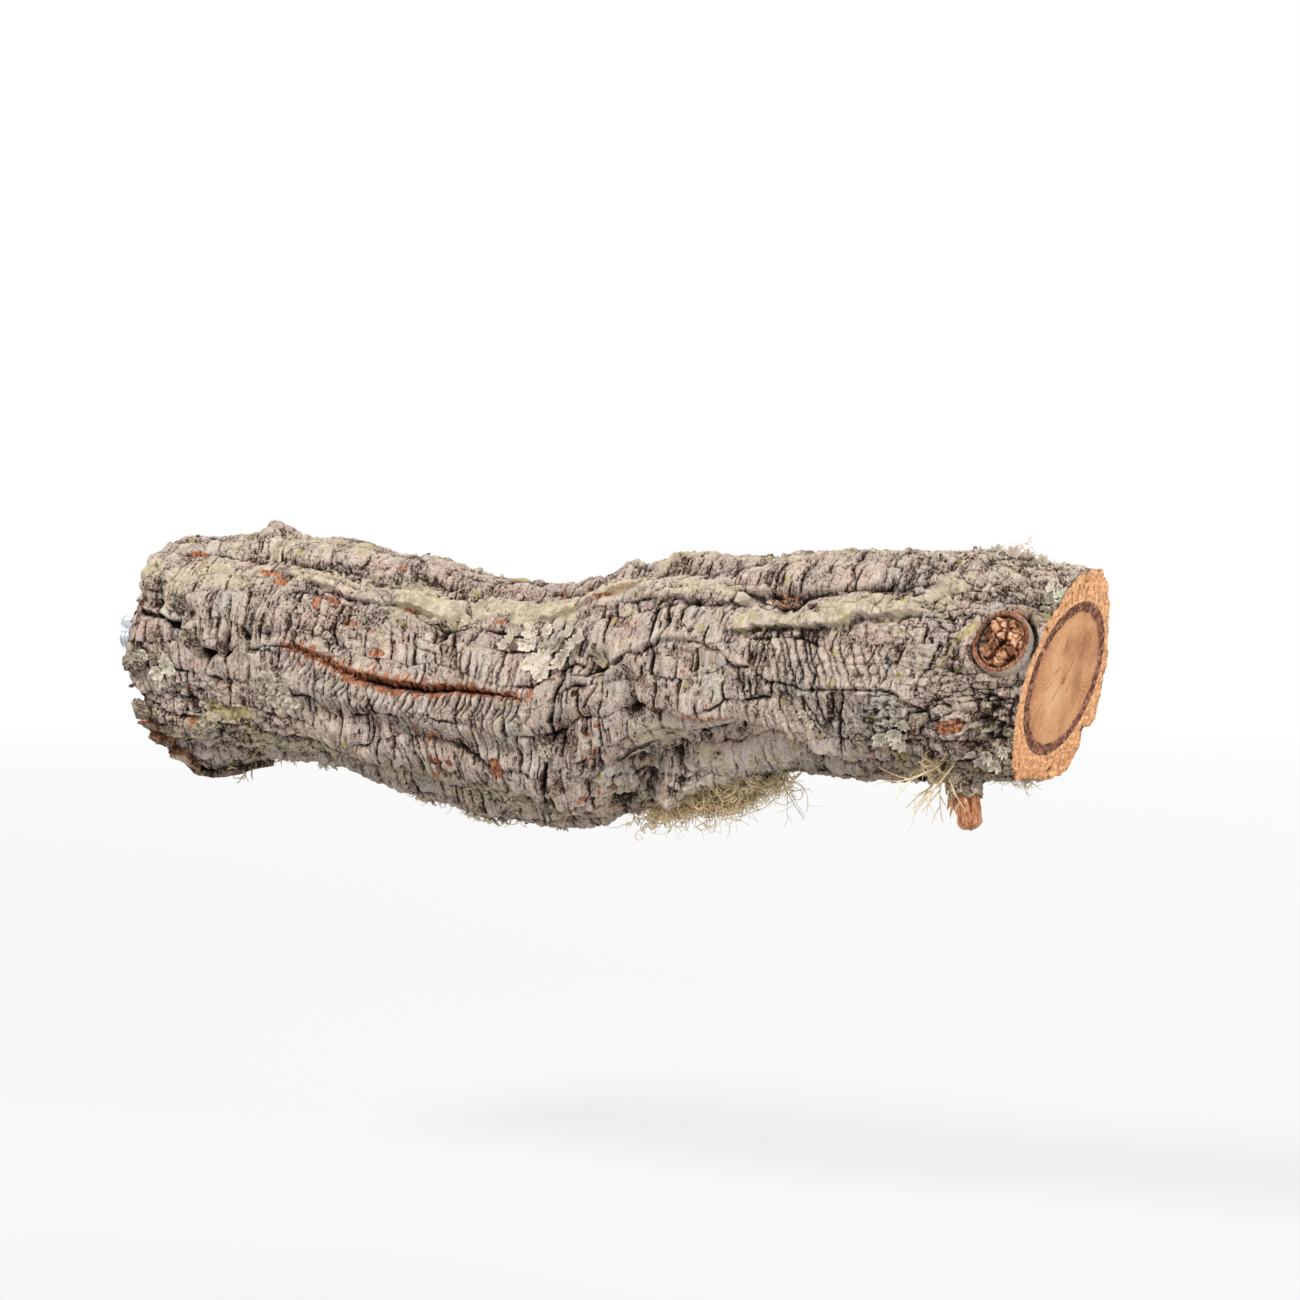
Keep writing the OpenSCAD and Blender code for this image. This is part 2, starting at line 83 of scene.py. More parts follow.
# The hardware's sizes.
STUD_OUT, SCREW_END = 20.3, 43.6
WASHER_R, WASHER_BORE = 15.875, 3.575
BAR_GAP = 5.0
NUT_X = -BAR_GAP - WASHER_T - 0.05
HUB_H = 6.8
# Side of the nut's hub: height, radius.
HUB = [[0, 5.95], [0.25, 6.18], [0.7, 6.2], [2, 6], [3.6, 5.75], [5.2, 5.5], [6.3, 5.3], [6.65, 5.1],
       [HUB_H, 4.8]]
WING_RUN, EAR_R = 9.35, 3.2
WING_TURNS = (52, 232)

# Radius that turns angles on the bark into lengths, and the widest that the bark may stand.
GIRTH_R = 33.0
MOST_SIDE = 36.2
# Bands round the branch, and the usual width of a slab, a layer and a petal of cork.
BANDS = 25
SLAB, LAYER, PETAL = 7.0, 1.9, 2.3
# Play between the cork, inner bark and wood, and how far below the middle line the pith lies.
FIT, GAP = 0.02, 0.03
PITH_DROP = 1.7
# Curl from which a beard lichen's threads are matted.
MATTED = 0.8

# The photographed view: place in metres, look down and turn, lens and sensor.
VIEW_PLACE = (0.69783, -1.04811, 0.08403)
VIEW_DOWN, VIEW_TURN = 3.98, 27.2
VIEW_LENS, VIEW_SENSOR = 115.28, 36.0
# The stage in metres: height of the floor, and lamps of name, place, aim, size and watts.
FLOOR_Z = -0.16
LAMPS = (
    ("key", (-0.30, -1.0, 1.15), (0.14, 0, 0), 0.45, 21.0),
    ("side", (1.5, -0.45, 0.45), (0.2, 0, 0), 0.7, 11.0),
    ("back", (0.1, 1.1, 1.0), (0.14, 0, 0), 0.8, 11.0),
)

# The solids' own shape. Drop of the middle line: share of the length, share of the drop.
BEND = [
    [0, 0], [0.1, 0.06], [0.2, 0.23], [0.3, 0.58], [0.4, 0.92], [0.48, 1], [0.56, 0.62], [0.64, 0.27],
    [0.72, 0.04], [0.84, 0], [1, 0.13],
]
# Thickness of the cork on top, below and at the sides: share of the length, share of the mean.
TOP = [
    [0, 0.78], [0.1, 1], [0.18, 1.16], [0.25, 1.04], [0.32, 1.1], [0.46, 0.95], [0.5, 1], [0.55, 1.14],
    [0.6, 1.22], [0.7, 0.9], [0.79, 1], [0.91, 1.06], [1, 0.68],
]
UNDER = [
    [0, 1.05], [0.05, 1.38], [0.12, 1.08], [0.2, 1.02], [0.25, 1.17], [0.32, 1.2], [0.44, 1.27],
    [0.5, 1.35], [0.55, 1.22], [0.6, 1.12], [0.66, 1.07], [0.745, 0.7], [0.8, 0.8], [0.92, 0.75],
    [0.97, 0.54], [1, 0.56],
]
SIDE = [
    [0, 0.95], [0.3, 1.02], [0.55, 1.1], [0.8, 0.95], [0.92, 0.7], [1, 0.3],
]
# Long furrows: depth share, width in degrees, route of [share, degrees].
FURROWS = [
    [0.3, 8, [[0.1, 63], [0.3, 58], [0.45, 66], [0.55, 72], [0.66, 62]]],
    [0.5, 12, [[0.56, -44], [0.62, -40], [0.7, -34], [0.8, -52]]],
    [0.26, 8, [[0.2, -24], [0.3, -20], [0.45, -22], [0.54, -18]]],
    [0.34, 8, [[0.68, 44], [0.76, 42], [0.82, 47], [0.88, 50]]],
    [0.34, 9, [[0, -60], [0.2, -66], [0.4, -58], [0.52, -70]]],
    [0.4, 9, [[0.05, 100], [0.3, 110], [0.6, 96], [0.95, 104]]],
    [0.5, 8, [[0, 142], [0.25, 150], [0.5, 136], [0.75, 148], [1, 140]]],
    [0.42, 9, [[0.1, 186], [0.4, 176], [0.65, 190], [0.9, 182]]],
    [0.5, 8, [[0, 222], [0.3, 232], [0.55, 218], [0.8, 230], [1, 224]]],
    [0.36, 9, [[0.1, 262], [0.35, 256], [0.6, 268], [0.85, 260]]],
]
# Knobs and hollows: share, degrees, width share, width in degrees, height share.
KNOBS = [
    [0.125, 84, 0.018, 12, 0.34], [0.53, -74, 0.05, 22, 0.12], [0.15, 42, 0.03, 9, 0.12],
    [0.51, 22, 0.03, 10, 0.14], [0.62, -62, 0.035, 12, 0.2], [0.92, -50, 0.03, 14, 0.16],
    [0.37, 37, 0.012, 6, -0.3], [0.6, -12, 0.014, 6, -0.3], [0.75, 33, 0.025, 9, -0.2],
    [0.35, 170, 0.04, 16, 0.2], [0.7, 205, 0.05, 18, 0.18], [1, 238, 0.07, 13, 0.42],
    [1, 302, 0.06, 12, 0.26], [1, 60, 0.05, 12, 0.12], [1, 98, 0.05, 12, 0.1], [1, 150, 0.05, 20, -0.16],
    [0.29, -9, 0.09, 7, 0.09], [0.432, 16, 0.05, 11, 0.08], [0.813, 2, 0.062, 8, 0.07],
    [0.6, -48, 0.034, 9, -0.4], [0.61, -63, 0.018, 8, 0.16], [0.898, -8, 0.016, 8, 0.16],
    [0.937, -27, 0.024, 10, 0.16], [0.559, 13, 0.012, 6, -0.34], [0.1, -2, 0.012, 5, -0.34],
    [0.31, 82, 0.035, 9, 0.1], [0.23, 74, 0.045, 7, 0.09], [0.42, 200, 0.03, 10, 0.16],
    [0.665, 165, 0.034, 12, 0.15], [0.21, 240, 0.03, 10, 0.16], [0.83, 245, 0.034, 10, 0.13],
]
# Outline of the sawn cork: degrees, radius.
RIM = [
    [0, 24.4], [14, 23.6], [28, 23.4], [40, 25.6], [52, 25.8], [64, 28], [74, 29.1], [100, 29.6],
    [112, 28], [126, 25.8], [142, 23.6], [156, 22.8], [170, 24.2], [184, 24.8], [198, 27.2], [209, 29.2],
    [217, 25], [224, 29], [240, 31.6], [250, 29.3], [270, 27.5], [287, 27.8], [297, 30.2], [310, 28.6],
    [330, 26], [344, 24.9], [360, 24.4],
]
# Open fissures: depth, half width at the top, lip, fresh cork showing from 0 to 1, and a route
# of [mm from the mount face, degrees, how far open from 0 to 1]. The first is the orange one.
FISSURES = [
    [5.2, 0.95, 0.9, 1, [[55, 8, 0.1], [61, 7.6, 0.4], [68, 6, 0.6], [75, 3.6, 0.7], [83, 0.6, 0.85],
         [93, -0.4, 1], [103, 1.2, 0.9], [112, 4.4, 0.7], [122, 5.6, 0.5], [131, 5, 0.3],
         [139, 4, 0.06]]],
    [2.6, 1.3, 0.6, 0, [[4, 23, 0.3], [9, 18, 0.9], [14, 17, 0.4], [19, 12, 0.9], [24, 9, 0.4],
         [30, 0, 1], [36, 0, 0.4], [42, 4, 0.2], [56, 8, 0.12]]],
    [1.7, 1.1, 0.7, 0, [[154, 10, 0.1], [162, 13, 0.5], [172, 16, 0.3], [180, 19, 0.8], [188, 19, 0.3],
         [196, 12, 0.5], [203, 3, 0.3], [215, -4, 0.4], [226, -8, 0.2], [236, -8, 0.4], [246, -8, 0.2],
         [256, -15, 0.8], [261, -26, 0.5]]],
    [1.2, 1.6, 0.3, 0, [[40, 66, 0.2], [58, 63, 0.6], [80, 62, 0.2], [104, 66, 0.5], [128, 72, 0.2],
         [150, 72, 0.1]]],
    [2.6, 1.5, 0.5, 0, [[196, 45, 0.4], [206, 42, 1], [216, 42, 0.8], [228, 46, 0.4], [240, 48, 0.7],
         [252, 50, 0.3]]],
    [1.8, 1, 0.3, 0, [[4, -30, 0.3], [16, -36, 0.7], [40, -40, 0.2], [66, -44, 0.5], [90, -47, 0.2],
         [120, -50, 0.4], [150, -56, 0.6]]],
    [0.6, 0.5, 0, 0.8, [[184, -13, 0.3], [189, -16, 0.9], [197, -20, 1], [206, -23, 0.8],
         [214, -25, 0.3]]],
    [1, 0.7, 0.2, 0, [[60, 28, 0.3], [84, 25, 0], [108, 22, 0.4], [122, 26, 0.1]]],
    [1.2, 0.8, 0.3, 0, [[150, 40, 0.3], [170, 45, 0.7], [192, 36, 0.4], [200, 30, 0.4]]],
    [2.6, 1.5, 0.6, 0.3, [[12, 142, 0.5], [70, 149, 1], [130, 138, 0.4], [200, 147, 0.9],
         [270, 140, 0.4]]],
    [2.2, 1.4, 0.6, 0.1, [[30, 187, 0.4], [110, 177, 0.9], [180, 190, 0.3], [250, 182, 0.8]]],
    [3, 1.5, 0.7, 0.4, [[8, 222, 0.4], [84, 231, 0.9], [155, 219, 0.5], [225, 230, 0.9],
         [276, 225, 0.3]]],
    [2, 1.3, 0.5, 0.1, [[28, 262, 0.4], [100, 256, 0.8], [170, 268, 0.3], [240, 260, 0.8]]],
    [2, 1.3, 0.5, 0.1, [[16, 101, 0.4], [84, 109, 0.8], [170, 97, 0.4], [262, 104, 0.8]]],
]
# Cracks across the bark: depth, half width, route of [degrees, mm from the mount face].
CROSS_CRACKS = [
    [3.2, 1.1, [[-52, 139], [-30, 142], [-15, 145], [2, 147], [12, 150]]],
    [2.6, 0.8, [[-38, 233], [-22, 234], [-8, 235]]], [1.6, 0.6, [[-26, 207], [-14, 206], [0, 204]]],
    [1.6, 0.6, [[-40, 124], [-24, 122], [-4, 121]]], [1.4, 0.5, [[-34, 96], [-20, 97], [-8, 98]]],
    [2, 0.7, [[9, 117], [22, 115], [34, 116]]], [1.8, 0.7, [[14, 74], [26, 72], [40, 74]]],
    [2.8, 1, [[18, 178], [28, 180], [40, 178]]], [1.4, 0.6, [[-30, 66], [-14, 65], [-2, 66]]],
    [2, 0.8, [[70, 40], [84, 44], [98, 43]]], [2, 0.8, [[60, 196], [80, 200], [100, 197]]],
    [2.4, 0.8, [[24, 196], [34, 198], [44, 196]]], [2, 0.6, [[-20, 156], [-8, 157], [4, 160]]],
    [1.8, 0.6, [[40, 226], [52, 229], [64, 227]]], [1.8, 0.7, [[30, 240], [40, 242], [52, 240]]],
    [2, 0.6, [[150, 60], [175, 64], [200, 61]]], [2, 0.6, [[150, 170], [180, 166], [210, 171]]],
]
# Steps in the bark, high on the upper side: height, reach, fresh edge from 0 to 1, and a route
# of [mm, degrees].
LEDGES = [
    [3.2, 9, 1, [[174, -8], [180, -13], [189, -17], [197, -21], [206, -24], [214, -26], [222, -34],
         [230, -48]]],
    [1.5, 7, 0.45, [[136, 46], [150, 51], [162, 60], [172, 74]]],
    [2, 5, 0.15, [[168, 46], [178, 42], [190, 38], [200, 37], [207, 41]]],
    [2.6, 6, 0, [[200, 21], [210, 24], [224, 24], [240, 28], [252, 33]]],
    [1.6, 8, 0.3, [[6, -57], [22, -64], [40, -67], [54, -66]]],
    [1.3, 6, 0.1, [[60, 44], [80, 40], [104, 43]]], [1.5, 7, 0.3, [[60, 201], [120, 204], [190, 210]]],
    [1.2, 7, 0.2, [[90, 125], [150, 121], [220, 126]]],
]
# Pits and bosses: mm, degrees, half length, half width, height.
PITS = [
    [30, -2, 2, 2, -2.2], [38, 8, 1.2, 2.6, -2.8], [45, 10, 1.3, 2.6, -3], [52, 13, 1.1, 2.4, -2.4],
    [60, 15, 0.9, 2, -1.6], [20, 15, 1.6, 2.6, -2.6], [12, 24, 2.6, 1.8, -2.6], [25, 20, 1.4, 1.8, -1.8],
    [160, 13, 2.4, 2.8, -2.6], [171, -9, 1.4, 1.8, -3], [107, 34, 1.6, 2.2, -2.4],
    [163, -42, 3, 2.4, -2.8], [170, -57, 3.4, 2.8, -4.2], [179, -49, 2.6, 2.2, -3.2],
    [176, -63, 3, 2.4, 2], [186, -56, 2.6, 2.4, -2.4], [176, -39, 1.6, 1.6, 1.4],
    [166, -52, 1.6, 1.8, 1.4], [158, -55, 2.2, 2.4, -2], [213, 36, 5, 3.4, -3.2],
    [258, -20, 1.6, 3.4, -3.6], [249, -27, 3, 4, 1.2], [143, -20, 2.6, 5, 1.6], [152, -21, 2.4, 4.4, 1.2],
    [148, -21, 1, 5, -1.2], [263, -60, 5.5, 5, -4.6], [225, -58, 3, 3, -2.4], [276, -8, 1.6, 1.4, -1.4],
    [279, -16, 1.4, 1.4, -1.4], [275, -22, 1.2, 1.6, -1.2], [282, -12, 1.4, 1, -1.2],
    [120, 200, 6, 5, 1.4], [190, 165, 7, 6, 1.2], [60, 240, 6, 5, 1.4], [236, 245, 7, 5, 1.2],
]
# Chips of fresh cork: mm, degrees, half length, half width, depth.
CHIPS = [
    [17, 61, 3, 1.2, 0.5], [47, 47, 3.8, 1.4, 0.8], [52, 42, 2.6, 1.6, 0.5], [70, 37, 3.4, 0.8, 0.4],
    [60, 49, 3, 0.6, 0.4], [65, 34, 1.4, 2.6, 0.6], [156, 54, 6, 0.5, 0.3], [36, 60, 3, 0.6, 0.3],
    [77, 28, 2, 1.2, 0.6], [88, 15, 2.6, 1.3, 0.6], [105, -34, 2.6, 1.4, 0.6], [125, -33, 2.3, 3, 0.9],
    [110, -34, 1.4, 1, 0.5], [123, 44, 1.7, 0.9, 0.5], [267, -25, 3.8, 2.3, 0.8], [6, 23, 2, 1.4, 0.6],
    [4, -46, 2.4, 3, 0.8], [32, -63, 1.8, 1, 0.5], [171, -12, 1.2, 1, 0.6], [195, -20, 1.2, 0.8, 0.4],
    [22, -38, 1.2, 1.6, 0.6], [55, 57, 3.2, 0.8, 0.4], [96, 40, 2, 0.7, 0.4], [150, -52, 1.6, 1, 0.5],
    [240, -52, 2, 1, 0.5], [255, -28, 1.4, 2.2, 0.7], [140, 8, 1, 1.6, 0.5], [84, 72, 3, 0.8, 0.4],
    [110, 190, 3, 1.6, 0.7], [180, 230, 3.4, 1.6, 0.8], [60, 160, 2.6, 1.6, 0.7], [222, 150, 3, 1.8, 0.7],
]
# Pale crust of lichen: strength, half width, route of [mm, degrees].
CRUSTS = [
    [0.7, 6, [[0, 42], [15, 40], [34, 44], [56, 50]]],
    [1, 6.2, [[50, 49], [90, 50], [122, 55], [139, 58], [154, 62]]],
    [1.3, 4.2, [[138, 52], [148, 54], [158, 58], [168, 60], [178, 58]]],
    [1, 5.4, [[124, 50], [146, 54], [158, 62], [166, 74], [176, 84], [192, 90]]],
    [1.3, 4.6, [[196, 31], [212, 31], [230, 31], [244, 36], [258, 44]]],
    [1.2, 3, [[168, 52], [178, 47], [190, 43], [200, 42], [208, 46]]],
    [0.6, 6, [[26, 64], [44, 72], [60, 80], [84, 88]]], [0.6, 5, [[72, 44], [92, 42], [118, 46]]],
    [0.5, 9, [[170, 80], [200, 84], [240, 80], [286, 78]]],
    [0.55, 4, [[20, -36], [44, -34], [52, -16], [58, -12]]],
    [0.5, 7, [[6, -42], [40, -54], [90, -60], [140, -66]]],
    [0.8, 5, [[168, -22], [178, -30], [190, -44], [196, -58]]],
    [0.6, 3.6, [[262, 8], [264, 20], [268, 34]]], [0.5, 10, [[20, 120], [150, 128], [270, 118]]],
    [0.4, 10, [[40, 205], [160, 200], [260, 206]]],
]
# Dark green-grey film, then yellow-green moss, in the same form.
FILMS = [
    [0.9, 6, [[4, -52], [28, -44], [56, -50], [75, -55], [114, -50], [146, -58]]],
    [0.8, 8, [[150, -68], [200, -72], [290, -58]]], [0.8, 8, [[272, -30], [282, -26], [300, -22]]],
    [0.9, 6, [[272, 50], [284, 46], [300, 44]]], [0.6, 14, [[10, 262], [150, 268], [280, 256]]],
]
MOSSES = [
    [0.9, 2.6, [[26, -28], [36, -31], [44, -30]]], [0.8, 1.6, [[24, 82], [33, 78]]],
    [0.9, 1.5, [[78, 20], [82, 17]]], [1.3, 3, [[262, 8], [265, 20], [268, 31]]],
    [0.7, 1.8, [[8, 0], [14, -6], [18, -8]]], [0.35, 3, [[50, 60], [96, 62], [120, 66]]],
    [0.6, 4, [[240, -44], [256, -50]]], [0.5, 8, [[60, 95], [200, 92], [280, 90]]],
]
# Cracks in the sawn cork: degrees, width, and where they start and stop as shares inwards.
SAWN_CRACKS = [
    [84, 0.4, 0.05, 0.6], [78, 0.3, 0.35, 0.95], [90, 0.3, 0.5, 1], [98, 0.35, 0, 0.35],
    [70, 0.35, 0.45, 0.9], [38, 0.35, 0.3, 0.9], [300, 0.5, 0, 0.45], [217, 0.9, 0, 0.5],
    [256, 0.4, 0, 0.5], [275, 0.3, 0, 0.3], [20, 0.4, 0.3, 0.7], [180, 0.7, 0, 0.4],
]
# Drying checks in the sawn wood: y, z, half length, half width, turn in degrees.
DRYING_CHECKS = [
    [0.6, 0.6, 2.4, 0.2, 62], [2.2, 3.4, 2.2, 0.16, 66], [-5.5, 2.4, 2, 0.18, 38],
    [0.2, -1.2, 1.2, 0.2, 20], [-2.2, -3, 3.6, 0.2, 60], [-5.4, -6.6, 3.6, 0.14, 57],
    [-4, 10, 3.6, 0.14, 84], [3.8, -2.8, 2.4, 0.14, 64], [6.8, 7, 3, 0.12, 70], [-8.8, -2, 2.6, 0.14, 30],
    [-11, -8, 2.4, 0.14, 50], [1.6, 9, 3, 0.1, 80], [5.6, 12, 2.4, 0.12, 78],
]
# Torn plates: mm, degrees, half length, half width, turn, lift, rise of the free edge,
# thickness, fresh share.
TORN = [
    [21, -82, 13.5, 3.8, 4, 0.2, 2, 1.5, 0.5], [9, -72, 4.6, 3.6, -24, 0, 1.6, 2.2, 0.8],
    [5, -58, 3.8, 3.4, -22, 0, 1.2, 2, 0.9], [4, -34, 3, 3.4, -70, 0, 0.8, 1.8, 0.1],
    [5, -44, 3, 2.6, 10, 0.2, 1.6, 1, 0.8], [6, -8, 3.4, 2.8, 60, 0.3, 1.8, 1, 0.1],
    [26, 6, 3.2, 2.4, -30, 0.2, 1.8, 0.9, 0], [37, 3, 1.4, 2.6, 12, 0.4, 1.6, 0.7, 0],
    [44, 6, 1.2, 2.4, 10, 0.4, 1.5, 0.7, 0], [19, 24, 4.2, 2.2, -20, 0.2, 1.2, 0.9, 0.1],
    [9, 34, 3.6, 2, -14, 0.3, 1.4, 0.9, 0.3], [143, -20, 1.8, 4.2, 6, 0.6, 1.2, 0.9, 0.1],
    [152, -22, 1.6, 3.8, -4, 0.5, 1.2, 0.9, 0.1], [168, -38, 4.4, 2, 12, 0.4, 1.8, 0.9, 0.2],
    [258, -22, 3.2, 2, 40, 0.4, 1.8, 0.9, 0.2], [212, 38, 4.2, 1.6, 8, 0.4, 1.4, 0.9, 0.4],
    [160, 17, 2.6, 1.8, -30, 0.3, 1.4, 0.8, 0],
]
# Shards of the snag: share of the length, degrees, foot above the hollow, then their reach along
# the branch, round it and outwards, and their radius. The first one's place is the snag's.
SHARDS = [
    [0.742, 39, 3.2, -5.2, -0.4, 1.2, 0.9], [0.742, 36, 3, -4.2, -1.6, 0.4, 0.7],
    [0.744, 41, 3.2, -2.6, 1.2, 2.8, 0.8], [0.746, 37, 3, -3, -0.6, 2.4, 1],
    [0.748, 40, 2.8, 2.2, 0.6, 2.2, 0.8], [0.74, 34, 2.6, -3.4, -0.9, -0.2, 0.6],
    [0.751, 38, 3, 1.6, -1, 1.6, 0.7], [0.745, 43, 3, -4.4, 1.6, 0.6, 0.6],
]
# Tufts of beard lichen: place, seed, threads, [mm, degrees, half mm, half degrees] of the root,
# length from and to, way the threads lean, curl, droop, steps, forks and thickness.
TUFTS = [
    ["middle", 1, 700, [178, -82, 14, 12], [10, 22], [0.4, 0, -0.3], 0.85, 0, 18, 0.4, 1.5],
    ["middle", 8, 520, [191, -80, 12, 11], [10, 20], [-0.2, 0, -0.3], 0.85, 0, 18, 0.4, 1.5],
    ["middle", 6, 14, [206, -80, 3, 5], [10, 18], [0.7, -0.1, -0.9], 0.25, 0.06, 12, 2.5, 1.9],
    ["twig", 2, 7, [262, -60, 3, 5], [14, 20], [-0.7, -0.3, -0.9], 0.14, 0.05, 11, 5, 3.4],
    ["twig", 7, 50, [260, -55, 5, 7], [3, 8], [-0.3, -0.3, -0.5], 0.5, 0.06, 8, 1, 1.5],
    ["mount", 3, 6, [26, -82, 7, 4], [5, 9], [0.5, -0.2, -0.7], 0.35, 0.02, 9, 4, 3],
    ["mount", 9, 30, [36, -80, 12, 6], [2, 4], [0.2, -0.2, -0.4], 0.5, 0.02, 6, 1, 1.3],
    ["mount", 10, 70, [106, -84, 30, 6], [2, 4], [0.2, -0.2, -0.4], 0.5, 0.02, 6, 1, 1.3],
    ["top", 4, 30, [263, 96, 4, 6], [4, 8], [-0.3, 0, 0.8], 0.5, -0.03, 8, 2, 1.4],
    ["end", 5, 40, [276, -96, 7, 12], [4, 9], [0.2, -0.2, -0.3], 0.6, 0.03, 8, 1.5, 1.3],
]
# Fronds of the leafy lichens: mm, degrees, radius, lobes, way the fan opens in degrees, lift of the
# margin, height, and greenness, which is below 0 where the frond is brown.
FRONDS = {
    "middle": [
        [135, 40, 2.8, 7, 200, 0.4, 0.3, 0], [135.6, 33, 3, 8, 250, 0.7, 0.4, 0],
        [140, 38, 2, 6, 60, 0.5, 0.4, 0], [140.5, 24, 4.2, 9, 265, 0.5, 0.4, 0],
        [143, 17, 2.8, 8, 280, 1, 0.6, 0], [145.6, 28, 2.8, 9, 340, 1.8, 1, -0.7],
        [149.5, 20, 3, 8, 285, 2.2, 1.4, -0.45], [152, 27, 3, 9, 330, 1.8, 1.2, -0.35],
        [148, 33, 2.2, 8, 40, 1.2, 0.8, -0.2], [148.2, 24, 2.2, 7, 60, 0.7, 1, -0.9],
        [128, 29, 1.5, 5, 110, 1.6, 0.7, 0.15], [129.2, 33, 1.8, 6, 70, 2, 0.9, 0.1],
        [130, 37, 1.2, 5, 60, 1.4, 0.6, 0.2],
    ],
    "mount": [
        [16.5, -8, 3.2, 8, 330, 0.8, 0.5, 0.5], [13, -12, 2.4, 7, 260, 1, 0.6, 0.1],
        [9.5, -4, 2, 6, 160, 1, 0.5, 0.3], [13.5, -17, 2, 7, 250, 0.6, 0.4, 0.1],
    ],
    "low": [
        [52, -10, 3.2, 8, 60, 0.5, 0.3, -0.6], [57.5, -15, 2.8, 8, 20, 1.4, 0.6, -0.4],
        [53.5, -17, 2.6, 7, 250, 0.8, 0.3, -0.7], [60, -19, 1.8, 6, 300, 1.2, 0.4, 0.3],
        [48.5, -13, 2, 7, 200, 0.7, 0.3, -0.8], [53, -82, 1.8, 7, 250, 1.6, 0.5, 0.6],
        [57, -80, 1.5, 6, 300, 1.4, 0.4, 0.5], [86, -84, 2, 7, 260, 1.8, 0.5, 0.3],
        [90, -81, 1.7, 7, 300, 1.6, 0.4, -0.2], [105, -80, 2.4, 8, 250, 1.9, 0.5, 0.6],
        [110, -82, 2.6, 8, 290, 2, 0.6, 0.7], [114.5, -80, 2, 7, 320, 1.5, 0.4, 0.5],
        [134, -82, 1.7, 7, 270, 1.5, 0.4, 0.4],
    ],
    "top": [
        [258, 76, 1.5, 7, 120, 1, 0.5, -0.6], [261, 79, 1.8, 7, 60, 1.6, 0.9, -0.7],
        [264, 75, 1.7, 7, 250, 1.2, 0.7, -0.4], [266, 78, 2, 8, 90, 2, 1.2, -0.6],
        [269, 80, 1.9, 8, 20, 2.2, 1.5, -0.7], [271, 76, 1.8, 7, 280, 1.6, 0.9, -0.5],
        [274, 79, 2, 8, 130, 2.2, 1.2, -0.6], [276, 75, 1.7, 7, 250, 1.4, 0.8, -0.4],
        [278, 78, 1.8, 7, 40, 2, 1, -0.5], [281, 74, 1.8, 7, 330, 1.5, 0.8, -0.4],
        [267, 71, 1.4, 6, 270, 0.8, 0.4, -0.2], [273, 71, 1.5, 6, 230, 1, 0.6, -0.5],
        [284, 70, 1.7, 7, 300, 1.2, 0.6, -0.3], [280, 68, 1.4, 6, 250, 1, 0.4, 0.2],
        [284, 60, 2.2, 8, 300, 1.2, 0.5, 0.8], [286, 56, 2, 8, 240, 1.2, 0.5, 0.9],
        [281, 62, 1.4, 7, 200, 0.9, 0.4, 0.6],
    ],
    "end": [
        [277, -45, 2.2, 8, 300, 1, 0.6, -0.3], [280, -50, 2.2, 7, 250, 1, 0.6, 0.2],
        [275, -50, 2, 7, 200, 0.9, 0.5, -0.4], [282, -43, 1.8, 7, 20, 0.9, 0.5, 0.3],
        [272, -46, 1.8, 6, 140, 0.8, 0.5, -0.2], [250, -31, 2.6, 9, 300, 1.4, 0.8, 0.2],
        [246, -34, 2.2, 8, 220, 1.2, 0.6, 0.4], [253, -26, 2.2, 8, 40, 1.2, 0.8, 0.1],
        [249, -25, 1.8, 7, 100, 1, 0.6, -0.2], [251, -38, 2.4, 8, 260, 1.2, 0.7, 0.2],
        [224, -20, 1.3, 6, 100, 0.8, 0.3, 0.5], [226, -24, 1.1, 6, 300, 0.8, 0.3, 0.6],
        [196, 3, 1.3, 6, 90, 0.8, 0.3, 0.6], [199, -2, 1.1, 6, 200, 0.8, 0.3, 0.5],
    ],
}


# Numbers and noise
def eased(t):
    """3t squared less 2t cubed: level at 0 and at 1."""
    return t * t * (3 - 2 * t)


def ramp(t, low, high):
    """0 below low, 1 above high, eased between them."""
    return eased(np.clip((t - low) / (high - low), 0, 1))


def bell(t):
    """e to the power of minus t squared."""
    return np.exp(-t * t)


def turn(a, b):
    """Least turn from b to a in degrees, from -180 to 180."""
    return (a - b + 180) % 360 - 180


def along(table, x):
    """Value at x from rows [place, value]: level past both ends, eased between rows."""
    places, values = np.array(table, float).T
    x = np.clip(x, places[0], places[-1])
    k = np.clip(np.searchsorted(places, x, side="right") - 1, 0, len(places) - 2)
    t = (x - places[k]) / (places[k + 1] - places[k])
    return values[k] + (values[k + 1] - values[k]) * eased(t)


def lot(*whole):
    """A repeatable number from 0 to 1 for whole-number places: the fraction of a large sine."""
    s = sum(w * k for w, k in zip(whole, (12.9898, 78.233, 37.719, 53.151)))
    s = np.sin(s) * 43758.5453
    return s - np.floor(s)


def noise(p, size, seed=0, octaves=1):
    """Smooth noise from -1 to 1: numbers drawn at the corners of a cubic lattice, blended with
    eased weights; each further octave has half the size and half the height."""
    total, height, full = 0.0, 1.0, 0.0
    for octave in range(octaves):
        q = p / size + 19.7 * seed + 7.3 * octave
        i = np.floor(q)
        f = eased(q - i)
        value = 0.0
        for dx in (0, 1):
            wx = f[..., 0] if dx else 1 - f[..., 0]
            for dy in (0, 1):
                wy = wx * (f[..., 1] if dy else 1 - f[..., 1])
                for dz in (0, 1):
                    wz = wy * (f[..., 2] if dz else 1 - f[..., 2])
                    value = value + wz * lot(i[..., 0] + dx, i[..., 1] + dy, i[..., 2] + dz, seed)
        total = total + height * (2 * value - 1)
        full += height
        size, height = size / 2, height / 2
    return total / full * 1.4


